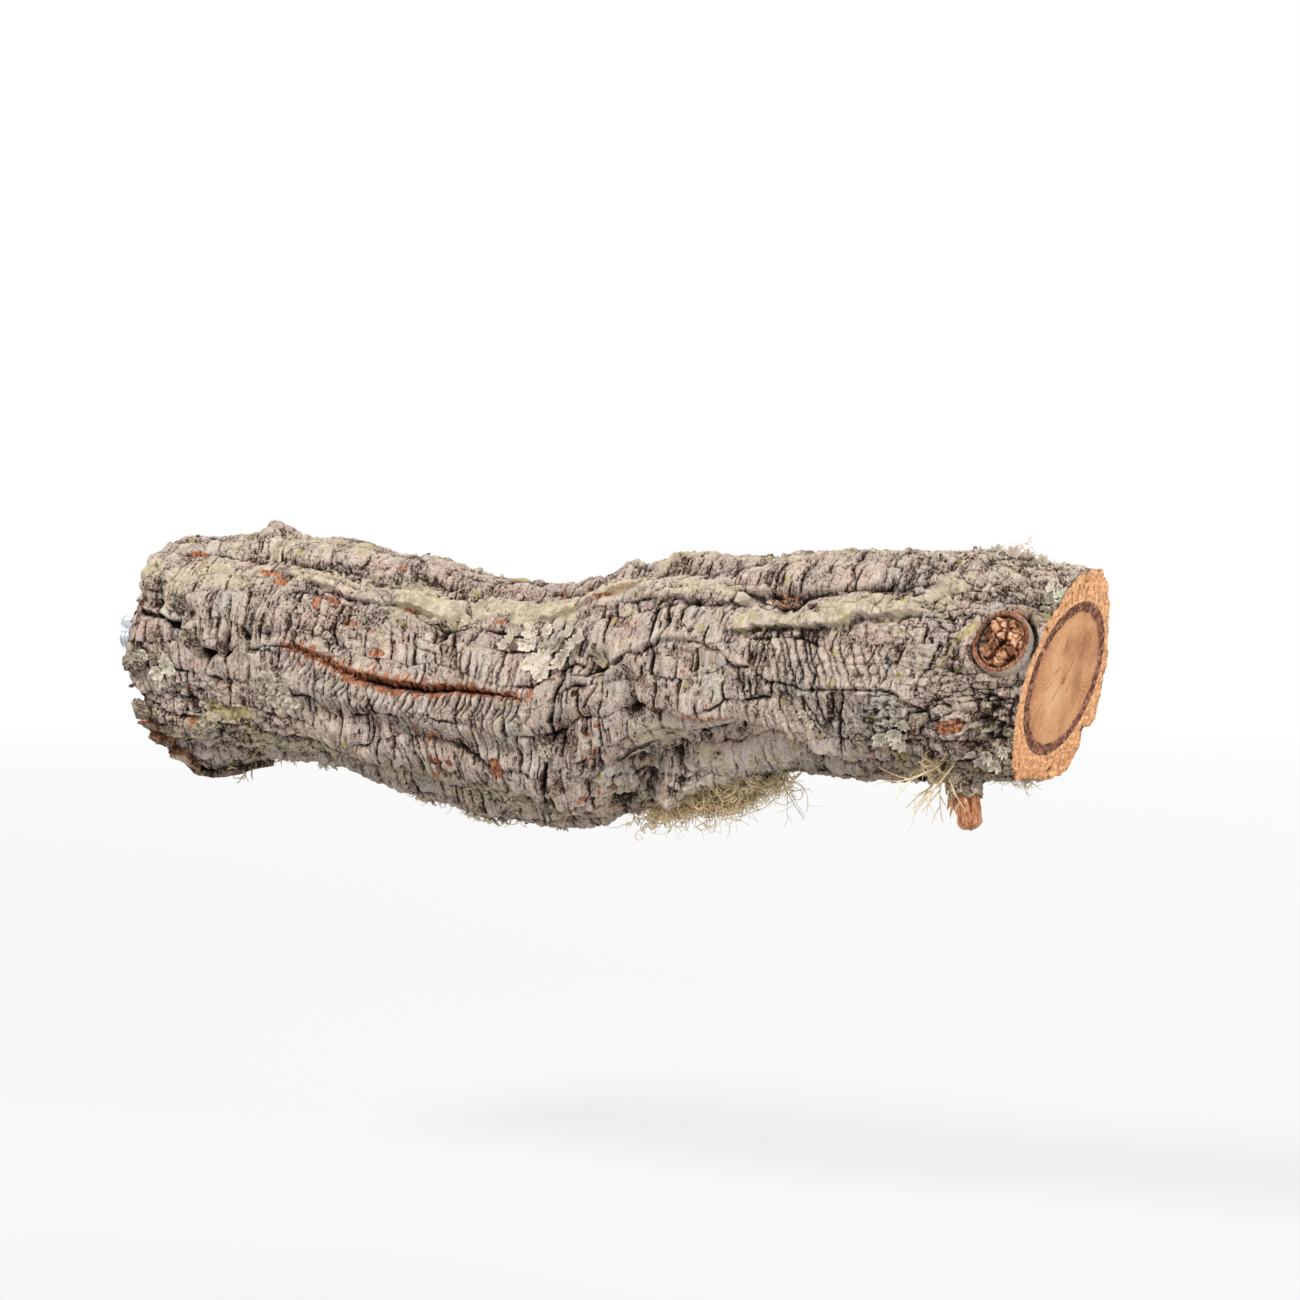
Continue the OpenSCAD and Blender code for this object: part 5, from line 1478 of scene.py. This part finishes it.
class PERCH_OT_stub(bpy.types.Operator):
    """Builds the cut side branch: its ring of thin bark and the rotten chunks inside"""
    bl_idname = "perch.stub"
    bl_label = "Cut side branch"

    def execute(self, context):
        n, place = 144, (1 - 9.0 / SPAN, STUB_A)
        t = circle(n)
        top = seated(np.zeros(3), *place)[1] + 1.2

        def ring(r, z):
            """Local rings of the given radius and height, a little longer round the branch."""
            return vector(0.97 * r * np.cos(t), 1.06 * r * np.sin(t), z)

        # the ring of bark: radius, height, how free the row is to wave, and its painted shade, dark low on
        # both walls where they meet the cork and the chunks
        wave, jag = noise(ring(8.0, 0.0), 3.0, 81, 2), noise(ring(8.0, 0.0), 0.8, 82, 2)
        profile = ((8.3, 0.2, 0, 0.6), (8.5, top - 3.4, 0, 0.3), (8.5, top - 1.8, 0.4, 0.1),
                   (8.4, top - 0.8, 0.8, 0), (8.2, top - 0.35, 1, 0), (8.0, top - 0.2, 1, 0),
                   (7.75, top - 0.1, 1, 0), (7.5, top, 1, 0), (7.25, top - 0.15, 1, 0.1),
                   (7.1, top - 0.5, 0.8, 0.4), (6.95, top - 1.4, 0.4, 0.8), (6.93, top - 3.6, 0, 1),
                   (6.93, 0.1, 0, 1))
        rim, edge = 0.2 * wave + 0.16 * jag, 0.4 * wave + 0.5 * jag
        points = np.concatenate([ring(r + free * rim, z + free * edge) for r, z, free, _ in profile])
        shade = np.zeros((len(points), n, 4))
        shade[..., 2] = np.array([row[3:] for row in profile])
        shade[4:10, :, 0] = 0.8 + 0.3 * jag
        shade[..., 1] = 0.35
        grown_and_seam_shade = np.zeros(shade.shape) + (0.0, 0.1, 0.5, 1.0)
        grain = vector(t * 12, np.arange(len(points))[:, None] * 1.2, 0.0)
        points, _ = seated(points, *place)
        piece("stub_ring", points, [grid_faces(len(points), n, True)[:, ::-1]], "cork",
              [weathered_cork()], ["stub_bark"], {"wear": shade, "growth": grown_and_seam_shade, "grain": grain})

        # the heart: crooked chunks, and a cave in them towards the mount, with painted shade in their gaps,
        # cracks, low places and the cave
        s = np.concatenate([[0.0], np.linspace(0.02, 1, 46) ** 0.8])[:, None]
        flat = ring(HEART_R * s, 0.0)
        x, y = flat[..., 0], flat[..., 1]
        lean = vector(x * 0.9 + y * 0.5, y * 0.75 - x * 0.35, 0)
        bent = vector(noise(flat, 1.8, 83, 2), noise(flat, 1.8, 88, 2), 0)
        _, edge, name = cells(lean + 0.9 * bent, 2.9, 84)
        _, _, other = cells(lean * 1.3 + 0.6 * bent, 1.9, 86)
        slant = noise(lean * (1, 0.5, 1), 2.6, 87)
        gap = bell(edge / 0.09)
        split = 1 - np.abs(noise(lean * (0.5, 1.2, 1), 2.4, 90, 3))
        tilt = np.mod(0.4 * (x * np.cos(7 * name) + y * np.sin(7 * name)) + other, 1) - 0.5
        cave = bell((x + 3.0) / 2.8) * bell((y + 1.0) / 3.6)
        height = (top - 1.5 + 1.2 * (name - 0.5) + 1.5 * tilt + 1.0 * slant - 0.8 * gap
                  + 2.8 * (split - 0.75) + 0.3 * noise(flat, 0.7, 85, 2))
        height = height - 1.8 * cave
        height = height * (1 - ramp(s, 0.96, 1.0)) + (top - 2.4) * ramp(s, 0.96, 1.0)
        height = np.clip(height, 0.6, top - 0.15)
        foot_r, foot_z = np.array([[1.0, 1.0, 0.6, 0.0], [0.3, 0.0, 0.0, 0.0]])[..., None]
        foot = ring(HEART_R * foot_r, foot_z)
        points = np.concatenate([ring(HEART_R * s, height), foot])
        shade = np.zeros((*points.shape[:2], 4))
        # painted shade in the gaps, cracks, cave and lowest parts
        dark = (0.6 * gap + 1.1 * ramp(0.6 - split, 0, 0.3) + 0.15 * cave
                + 0.6 * ramp(top - height, 3.4, 5.4))
        pale = (0.3 + 0.9 * ramp(name + 0.3 * other, 0.25, 0.8) + 0.5 * noise(flat, 0.6, 89)
                - 0.9 * cave - gap)
        shade[:len(s), :, 2] = np.clip(dark, 0, 1)
        shade[:len(s), :, 1] = np.clip(pale, 0, 1)
        points, faces, shade = poled(points, shade, inside_out=True)
        points, _ = seated(points, *place)
        piece("stub_chunks", points, faces, "rotten_wood", [rotten_wood()], ["stub_heart"],
              {"wear": shade}, crease=40)
        return {"FINISHED"}


class PERCH_OT_twig(bpy.types.Operator):
    """Builds the dead twig with its splinters and torn sleeve of bark, and the snag above"""
    bl_idname = "perch.twig"
    bl_label = "Twig and snag"

    def execute(self, context):
        n, place = 72, (0.932, -68, 18)
        t = circle(n)
        rise = seated(np.zeros(3), *place)[1]
        full = rise + 14.0

        def ring(r, z):
            """Local rings of the given radius and height."""
            return vector(r * np.cos(t), r * np.sin(t), z)

        tip = full - 2.2 + 2.2 * np.sin(np.linspace(0.12, 1, 10) * math.pi / 2)
        h = np.concatenate([np.linspace(0, full - 2.2, 50), tip])[:, None]
        rounding = np.sqrt(np.clip(1 - ((h - full + 2.2) / 2.2).clip(0, 1) ** 2, 0, 1))
        ridges = noise(ring(3.5, h * 0.12), 0.9, 91, 3)
        chunk = noise(ring(3.5, h), 1.7, 92, 2)
        r = (3.35 + 0.42 * ridges + 0.3 * chunk * ramp(h, full - 6, full)) * (0.12 + 0.88 * rounding)
        r = r * (1 - 0.22 * ramp(h, rise + 2, rise - 2))
        rows = ring(r, h + 0.5 * chunk * ramp(h, full - 3, full))
        tip = rows[-1:].mean(1, keepdims=True) + 0 * rows[-1:]
        points = np.concatenate([rows[:1] * (0, 0, 1), rows, tip])
        shade = np.zeros((*points.shape[:2], 4))
        # painted shade in the furrows between the ridges, and paler on the ridges
        shade[1:-1, :, 2] = 0.8 * np.clip(-ridges * 1.4 - 0.2, 0, 1)
        shade[1:-1, :, 1] = 0.8 * np.clip(ridges * 1.2, 0, 1)
        whole, faces, shade = poled(points, shade)
        whole, _ = seated(whole, *place)

        # slivers: they stand along the torn side, side by side, and lean out a little
        draw = np.random.default_rng(7)
        count = 30
        turned = np.radians(draw.uniform(140, 285, count))
        out = vector(np.cos(turned), np.sin(turned), 0)
        base = 3.5 * out + vector(0, 0, draw.uniform(rise - 6, rise + 4, count))
        aim = 0.22 * out + (0, 0, 1) + 0.12 * draw.normal(size=(count, 3))
        length = draw.uniform(3.0, 7.5, count)
        path = base[:, None] + aim[:, None] * length[:, None, None] * np.linspace(0, 1, 6)[None, :, None]
        path = path + 0.1 * draw.normal(size=path.shape)
        some, ends = tubes(path, draw.uniform(0.45, 0.95, count), 5, (0.7, 1.0, 1.0, 0.75, 0.12), 0.45)
        some, _ = seated(some, *place)
        points, faces = joined([(whole, faces), (some, ends)])
        more = np.zeros((len(some), 4))
        more[:, 1] = np.repeat(draw.uniform(0, 0.9, count), 30)
        piece("twig_splinters", points, faces, "rotten_wood", [rotten_wood()], ["twig_wood"],
              {"wear": np.concatenate([shade, more])}, crease=35)

        # sleeve: a shell whose lower edge is torn, and drawn right back on the splintered side
        open_side = bell(turn(np.degrees(t), 222) / 52)
        edge = rise + 6.0 - 13.0 * open_side + 1.3 * noise(ring(1, 0), 0.5, 93, 2)
        s = np.linspace(0, 1, 26)[:, None]
        z = s * np.maximum(edge, 0.8)
        p = ring(4.4, z)
        furrows = noise(p, 1.6, 94, 3)
        skin = (4.55 + 0.38 * furrows + 0.5 * ramp(rise + 1.5 - z, 0, 3)
                + 0.5 * ramp(s, 0.8, 1.0) * noise(p, 1.2, 95))
        outer, inner = ring(skin, z), ring(3.62 + 0.1 * ramp(s, 0.6, 1), z)[::-3]
        points = np.concatenate([outer, inner])
        # painted shade in the sleeve's furrows and all over its inside
        hollow = np.concatenate([np.clip(-furrows * 1.5 - 0.1, 0, 1), np.full(inner.shape[:2], 0.8)])
        wear = vector(0.0, 0.75, hollow, 0.0)
        wear[len(outer) - 2:len(outer), :, 0] = 0.35
        grown_and_seam_shade = np.zeros(wear.shape) + (0.1, 0.2, 0.4, 0.5)
        streaks = vector(points[..., 2] * 1.4, 4 * t, 0.0)
        points, _ = seated(points, *place)
        piece("twig_sleeve", points, [grid_faces(len(points), n, True)], "twig_bark", [weathered_cork()],
              ["twig_bark"], {"wear": wear, "growth": grown_and_seam_shade, "grain": streaks})

        # snag: splintered shards that lie in the hollow and point back along the branch
        rows = np.array(SHARDS)
        u, a = SHARDS[0][:2]
        roots = vector((rows[:, 0] - u) * SPAN, (rows[:, 1] - a) * 0.5, rows[:, 2] - 1.6)
        tips = roots + rows[:, 3:6] + (0, 0, 2.2)
        begin, finish = (seated(ends, u, a)[0][:, None] for ends in (roots, tips))
        steps = np.linspace(0, 1, 7)[None, :, None]
        path = begin * (1 - steps) + finish * steps
        path = path + 0.12 * np.random.default_rng(9).normal(size=path.shape)
        some, ends = tubes(path, rows[:, 6], 6, (0.9, 1.0, 0.85, 0.5, 0.1), 0.5)
        shade = np.zeros((len(some), 4))
        shade[:, 1] = np.repeat(lot(np.arange(len(rows))) * 0.5, 42)
        piece("snag_shards", some, ends, "rotten_wood", [rotten_wood()], ["snag"], {"wear": shade},
              crease=30)
        return {"FINISHED"}


class PERCH_OT_leaves(bpy.types.Operator):
    """Builds the leafy lichens: lobed fronds that lie on the bark with lifted margins"""
    bl_idname = "perch.leaves"
    bl_label = "Leafy lichens"

    def execute(self, context):
        t = circle(72)
        c, v = np.cos(t), np.sin(t)
        s = np.linspace(0, 1, 10)[:, None]
        for place, rows in FRONDS.items():
            parts, shades = [], []
            for k, (x, a, size, lobes, way, lift, up, green) in enumerate(rows):
                facing = t - math.radians(way)
                ragged = noise(vector(c * 2, v * 2, 3.0 * k), 0.9, 104, 2)
                outline = 0.66 + 0.34 * np.abs(np.cos(facing * lobes / 2 + k + 0.5 * ragged)) ** 0.5
                outline = outline * (0.92 + 0.25 * np.cos(facing))
                outline = outline * (1 + 0.2 * ragged + 0.07 * np.abs(np.sin(facing * lobes * 1.5 + 2 * k)))
                px, py = s * (size * outline) * c, s * (size * outline) * v
                local = vector(px, py, 7.0 * k)
                height = (up + lift * s ** 2.2 * (0.6 + 0.4 * np.cos(facing))
                          + 0.5 * s * noise(local, 1.1, 101, 2))
                height = height + 0.34 * s * np.cos(facing * lobes + 2 * k)
                thick = 0.34 * np.sqrt(np.clip(1 - s ** 6, 0, 1))
                angle = a + np.degrees(py / GIRTH_R)
                u = np.clip(share(x + px), 0, 1)
                r = bark_radius(u, angle, "level") + height - 0.22 * ramp(s, 0.86, 1.0)
                points = np.concatenate([spot(u, angle, r), spot(u, angle, r - thick)[-2::-1]])
                green, brown = max(green, 0), max(-green, 0)
                # painted shade in the middle and on the underside, with mottling and brown of the frond's
                # own; a painted highlight on the margin
                dark = (0.35 * ramp(s, 0.4, 0.05) + 0.5 * ramp(noise(local, 0.9, 103, 2), 0.25, 0.8)
                        + brown * (0.4 + 0.4 * ramp(s, 1.0, 0.5)))
                rim = 0.7 * ramp(s, 0.78, 0.98) * (1 - 0.5 * brown)
                shade = np.zeros((*points.shape[:2], 4)) + (0, 0.2, 0.55, 0)
                shade[:len(s)] = vector(green, rim, np.clip(dark, 0, 1), 0)
                points, faces, shade = poled(points, shade, inside_out=True)
                parts.append((points, faces))
                shades.append(shade)
            points, faces = joined(parts)
            piece("fronds_" + place, points, faces, "lichen", [leafy_lichen()], ["leaf_lichen_" + place],
                  {"wear": np.concatenate(shades)}, crease=60)
        return {"FINISHED"}


class PERCH_OT_beards(bpy.types.Operator):
    """Builds the beard lichens from thin branching threads"""
    bl_idname = "perch.beards"
    bl_label = "Beard lichens"

    def execute(self, context):
        thick = context.scene.perch_sizes.strand / MM / 2
        lowest, highest = cad_box[0][2] / MM - 1.6, cad_box[1][2] / MM + 1.6

        def keep(p):
            """Points kept outside the bark and within the solids' lowest and highest reach."""
            p = clear_of_bark(p)
            stray = 0.5 * lot(np.floor(p[..., 0] * 5))
            p[..., 2] = np.clip(p[..., 2], lowest + stray, highest - stray)
            return p

        made = {}
        for name, seed, count, root, (short, long), lean, curl, droop, steps, forks, stout in TUFTS:
            draw = np.random.default_rng(seed)
            spread = np.clip(draw.normal(size=(count, 2)) * 0.55, -1.15, 1.15)
            start, out = seat(root[0] + root[2] * spread[:, 0], root[1] + root[3] * spread[:, 1])
            if curl > MATTED:
                start = start + out * 6.0 * draw.uniform(0, 1, (count, 1)) ** 1.5
                start[:, 2] = np.maximum(start[:, 2], lowest + 0.5)
            shaken = draw.normal(size=(count, 3)) * (0.35 + 0.5 * curl)
            aims = (0.7 - 0.5 * min(curl, 1)) * out + np.array(lean) + shaken
            if curl > MATTED:
                aims = aims - 0.8 * (aims * out).sum(1, keepdims=True) * out
            lengths = draw.uniform(short, long, count)
            girth = thick * stout * draw.uniform(0.75, 1.3, count)
            path, body = threads(start, aims, lengths, steps, curl, droop, girth, seed,
                                 4 if stout > 1.5 else 3, keep)
            forked = int(count * forks)
            source, knot = draw.integers(0, count, forked), draw.integers(2, steps - 1, forked)
            begin = path[source, knot]
            aims = path[source, knot + 1] - begin
            shaken = draw.normal(size=(forked, 3))
            aims = aims + 0.8 * np.linalg.norm(aims, axis=1, keepdims=True) * shaken
            _, twigs = threads(begin, aims, lengths[source] * draw.uniform(0.2, 0.5, forked), 5, curl,
                               droop, girth[source] * (1 - 0.07 * knot), seed + 20, keep=keep)
            made.setdefault(name, []).extend([body, twigs])
        for name, parts in made.items():
            piece("threads_" + name, *joined(parts), "beard_lichen", [beard_lichen()],
                  ["beard_lichen_" + name], crease=80)
        return {"FINISHED"}


class PERCH_OT_plates(bpy.types.Operator):
    """Builds the loose plates and flakes that lift off the bark"""
    bl_idname = "perch.plates"
    bl_label = "Plates and flakes"

    def execute(self, context):
        draw = np.random.default_rng(31)
        count = 300
        ranges = ((3, 283), (0, 360), (0.4, 1.4), (0.6, 2.0))
        loose = [draw.uniform(*ends, count) for ends in ranges]
        loose.append(draw.normal(0, 24, count))
        loose += [draw.uniform(*ends, count) for ends in ((-0.1, 0.2), (0.3, 1.2), (0.25, 0.5))]
        loose = vector(*loose, 0.0)
        kinds = (("torn_plates", np.array(TORN, float), 15, 9), ("loose_flakes", loose, 5, 5))
        for name, rows, m, k in kinds:
            s, t = np.meshgrid(np.linspace(-1, 1, m), np.linspace(-1, 1, k), indexing="ij")
            x, a, half, wide, turned, lift, rise, thick, fresh = (rows[:, i, None, None] for i in range(9))
            each = np.arange(len(rows))
            number = each[:, None, None] * 5.0
            local = vector(s[None] * half, t[None] * wide, number)
            ragged = 1 + 0.34 * noise(local, 1.6, 111, 2)
            most, least = np.maximum(np.abs(s), np.abs(t)), np.minimum(np.abs(s), np.abs(t))
            inset = 1 - 0.34 * most[None] ** 2 * least[None] ** 2
            p, q = s[None] * half * ragged * inset, t[None] * wide * ragged * inset
            turned = np.radians(turned)
            dx, arc = p * np.cos(turned) - q * np.sin(turned), p * np.sin(turned) + q * np.cos(turned)
            u = np.clip(share(x + dx), 0.001, 0.999)
            angle = a + np.degrees(arc / GIRTH_R)
            free = (t[None] + 1) / 2
            bottom = bark_radius(u, angle, "level") + lift + rise * free ** 1.6
            bumps = 0.16 * noise(local + 3.3, 0.9, 112, 2) * np.minimum(1, thick * 2)
            over, under = spot(u, angle, bottom + thick + bumps), spot(u, angle, bottom - 0.6 * (1 - free))
            flat = m * k
            points = np.concatenate([side.reshape(len(rows), flat, 3) for side in (over, under)], 1)

            # one plate's faces: its top, its underside and the walls round its rim
            at = np.arange(flat).reshape(m, k)
            top = vector(at[:-1, :-1], at[1:, :-1], at[1:, 1:], at[:-1, 1:]).reshape(-1, 4)
            rim = np.concatenate([at[0], at[1:, -1], at[-1, -2::-1], at[-2:0:-1, 0]])
            after = np.roll(rim, -1)
            one = np.concatenate([top, top[:, ::-1] + flat, vector(rim, after, after + flat, rim + flat)])
            faces = (one[None] + (each * 2 * flat)[:, None, None]).reshape(-1, 4)
            # orange edges and crust on top with a painted highlight, orange and painted shade underneath
            shade = np.zeros((len(rows), 2, flat, 4))
            shade[:, 0, :, 0] = fresh[:, :, 0] * (0.25 + 0.5 * most.reshape(-1) ** 4)
            shade[:, 0, :, 1] = 0.5 * lot(each)[:, None]
            shade[:, 0, :, 3] = 0.4
            shade[:, 1, :, 0] = 0.6 * fresh[:, :, 0]
            shade[:, 1, :, 2] = 0.35
            grown_and_seam_shade = np.zeros(shade.shape)
            grown_and_seam_shade[..., 1] = 0.8 * np.clip(np.sin(np.radians(-a - 20)), 0, 1)
            grain = vector(dx + x, arc, number).reshape(len(rows), 1, flat, 3)
            piece(name, points, [faces], "cork", [weathered_cork()],
                  masks={"wear": shade, "growth": grown_and_seam_shade, "grain": np.repeat(grain, 2, 1)}, crease=40)
        return {"FINISHED"}


class PERCH_OT_hardware(bpy.types.Operator):
    """Builds the hanger bolt with its helical threads, both washers and the wing nut"""
    bl_idname = "perch.hardware"
    bl_label = "Bolt, washers and wing nut"

    def execute(self, context):
        sizes = context.scene.perch_sizes
        n = 48
        t = circle(n)

        def ring(x, r):
            """Rings about the stud's axis, at x mm and radius r."""
            return vector(x, r * np.cos(t), r * np.sin(t))

        def wound(x, pitch):
            """How far from the middle of its pitch a right-handed thread is, from 0 to 1."""
            return np.abs(2 * ((x / (pitch / MM) - t / (2 * math.pi)) % 1.0) - 1)

        def machine(x):
            """Share of the machine thread's height: a trapezium over one pitch."""
            return np.clip((wound(x, sizes.thread_pitch) - 0.14) / 0.72, 0, 1)

        # bolt: machine thread outside, plain neck through the washer, wood screw inside
        x = [np.linspace(-STUD_OUT, 0.6, 198), np.linspace(0.8, 5.4, 8), np.linspace(5.6, 43.4, 190)]
        x = np.concatenate(x)[:, None]
        lead = 2.35 + 0.8 * np.clip((x + STUD_OUT) / 0.8, 0, 1)
        outside = np.minimum(2.62 + 0.53 * machine(x), lead)
        ridge = np.clip(1 - wound(x, sizes.screw_pitch) / 0.42, 0, 1)
        inside = (2.2 + 0.9 * ridge) * (0.25 + 0.75 * np.clip((SCREW_END - x) / 5.0, 0, 1))
        neck = ramp(x, 0.3, 1.0)
        r = np.where(x > 5.5, inside, outside * (1 - neck) + 3.1 * neck)
        points = [ring(-STUD_OUT, 0.0), ring(x, r), ring(SCREW_END, 0.0)]
        points, faces, _ = poled(np.concatenate(points))
        piece("hanger_bolt_threads", points, faces, "zinc_steel", [zinc_plate()], ["hanger_bolt"],
              crease=38)

        # washers: a profile of [x, radius] with broken edges, carried round the stud
        b, deep = 0.18, WASHER_T
        profile = ((0, WASHER_BORE + b), (0, 9.0), (0, WASHER_R - 2 * b), (0.06, WASHER_R - 0.7 * b),
                   (b, WASHER_R - 0.1 * b), (2 * b, WASHER_R), (deep - b, WASHER_R),
                   (deep - 0.4 * b, WASHER_R - 0.3 * b), (deep, WASHER_R - b), (deep, 9.0),
                   (deep, WASHER_BORE + b), (deep - b, WASHER_BORE), (b, WASHER_BORE))
        around = circle(120)
        dx, r = np.array(profile).T[:, :, None]
        for name, base in (("inner_washer", 0.0), ("outer_washer", -BAR_GAP - WASHER_T)):
            points = vector(base + dx, r * np.cos(around), r * np.sin(around))
            piece(name + "_plate", points, [grid_faces(len(profile), 120, True)[:, ::-1]], "zinc_steel",
                  [zinc_plate()], [name], crease=30, body=name)

        # nut: hub as a closed ring whose bore carries the same thread, a little larger
        h, side = np.array(HUB).T[:, :, None]
        inside = np.linspace(HUB_H, 0.0, 66)[:, None]
        bore = 2.74 + 0.46 * machine(NUT_X - inside)
        bore = np.maximum(bore, 3.2 - 0.9 * np.minimum(inside, HUB_H - inside))
        hub = np.concatenate([ring(NUT_X - h, side), ring(NUT_X - inside, bore)])
        parts = [(hub.reshape(-1, 3), [grid_faces(len(hub), n, True)[:, ::-1]])]

        # wings: an oval section carried from the hub out to a round ear
        q = circle(28)
        run = np.linspace(0, 1, 22)[:, None] * WING_RUN
        ear = run - (WING_RUN - EAR_R)
        waist = 2.35 + 0.85 * eased(np.clip(run / 5.5, 0, 1))
        broad = np.where(ear < 0, waist, EAR_R * np.sqrt(np.clip(1 - (ear / EAR_R) ** 2, 0, 1)))
        flat = (1.2 + 0.25 * (1 - eased(np.clip(run / 4, 0, 1)))) * np.clip(broad / 0.9, 0, 1) ** 0.5
        c, v = np.cos(q), np.sin(q)
        across = np.sign(c) * np.abs(c) ** 0.7 * broad
        thick = np.sign(v) * np.abs(v) ** 0.6 * flat
        radial, axial = 3.3 + run * 0.76 - 0.65 * across, 2.7 + run * 0.65 + 0.76 * across
        for way in WING_TURNS:
            w = math.radians(way)
            wing = vector(NUT_X - axial, -math.sin(w) * radial + math.cos(w) * thick,
                          math.cos(w) * radial + math.sin(w) * thick)
            wing = np.concatenate([wing[:1].mean(1, keepdims=True) + 0 * wing[:1], wing])
            wing[-1] = wing[-1].mean(0)
            parts.append(poled(wing, inside_out=True)[:2])
        piece("wing_nut_cast", *joined(parts), "zinc_steel", [zinc_plate()], ["wing_nut"], crease=45,
              body="wing_nut")
        return {"FINISHED"}


class PERCH_OT_stage(bpy.types.Operator):
    """Lays the pale floor and lights the perch softly"""
    bl_idname = "perch.stage"
    bl_label = "Floor and lights"

    def execute(self, context):
        mesh = bpy.data.meshes.new("floor")
        corners = [(x, y, FLOOR_Z) for x, y in ((-9, -9), (9, -9), (9, 9), (-9, 9))]
        mesh.from_pydata(corners, [], [(0, 1, 2, 3)])
        mesh.materials.append(pale_floor())
        ground = bpy.data.objects.new("floor", mesh)
        context.scene.collection.objects.link(ground)
        world = bpy.data.worlds.new("studio")
        context.scene.world = world
        world.use_nodes = True
        sky = Shading(world.node_tree)
        soft = world.node_tree.nodes["Background"]
        sky.feed(soft.inputs[0], (1, 1, 1))
        sky.feed(soft.inputs[1], 0.5)
        white = sky.node("Background", {0: (1, 1, 1), 1: 1.0})
        whitened(sky, seen(sky), soft, white, "World Output")
        for name, place, aim, size, power in LAMPS:
            lamp = bpy.data.lights.new(name, "AREA")
            lamp.shape, lamp.size, lamp.energy = "DISK", size, power
            made = bpy.data.objects.new(name, lamp)
            made.location = place
            x, y, z = np.array(place) - np.array(aim)
            made.rotation_euler = (math.atan2(math.hypot(x, y), z), 0.0, math.atan2(y, x) + math.pi / 2)
            context.scene.collection.objects.link(made)
        context.scene.view_settings.view_transform = "Standard"
        return {"FINISHED"}


class PERCH_PT_panel(bpy.types.Panel):
    """Lists the perch's pieces in the sidebar"""
    bl_idname = "PERCH_PT_panel"
    bl_label = "Cork Oak Perch"
    bl_space_type = "VIEW_3D"
    bl_region_type = "UI"
    bl_category = "Perch"

    def draw(self, context):
        for settings in (context.scene.perch_sizes, context.scene.perch_colours):
            for name in settings.__annotations__:
                self.layout.prop(settings, name)
        for step in STEPS:
            self.layout.operator(step.bl_idname)


STEPS = (PERCH_OT_camera, PERCH_OT_cork, PERCH_OT_plates, PERCH_OT_wood, PERCH_OT_stub, PERCH_OT_twig,
         PERCH_OT_leaves, PERCH_OT_beards, PERCH_OT_hardware, PERCH_OT_stage)
CLASSES = (PerchSizes, PerchColours, *STEPS, PERCH_PT_panel)


def register():
    for kind in CLASSES:
        bpy.utils.register_class(kind)
    bpy.types.Scene.perch_sizes = PointerProperty(type=PerchSizes)
    bpy.types.Scene.perch_colours = PointerProperty(type=PerchColours)


def unregister():
    del bpy.types.Scene.perch_sizes
    del bpy.types.Scene.perch_colours
    for kind in reversed(CLASSES):
        bpy.utils.unregister_class(kind)


def main():
    """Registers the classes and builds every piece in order."""
    register()
    for step in STEPS:
        group_name, action = step.bl_idname.split(".")
        getattr(getattr(bpy.ops, group_name), action)()


if __name__ == "__main__":
    main()
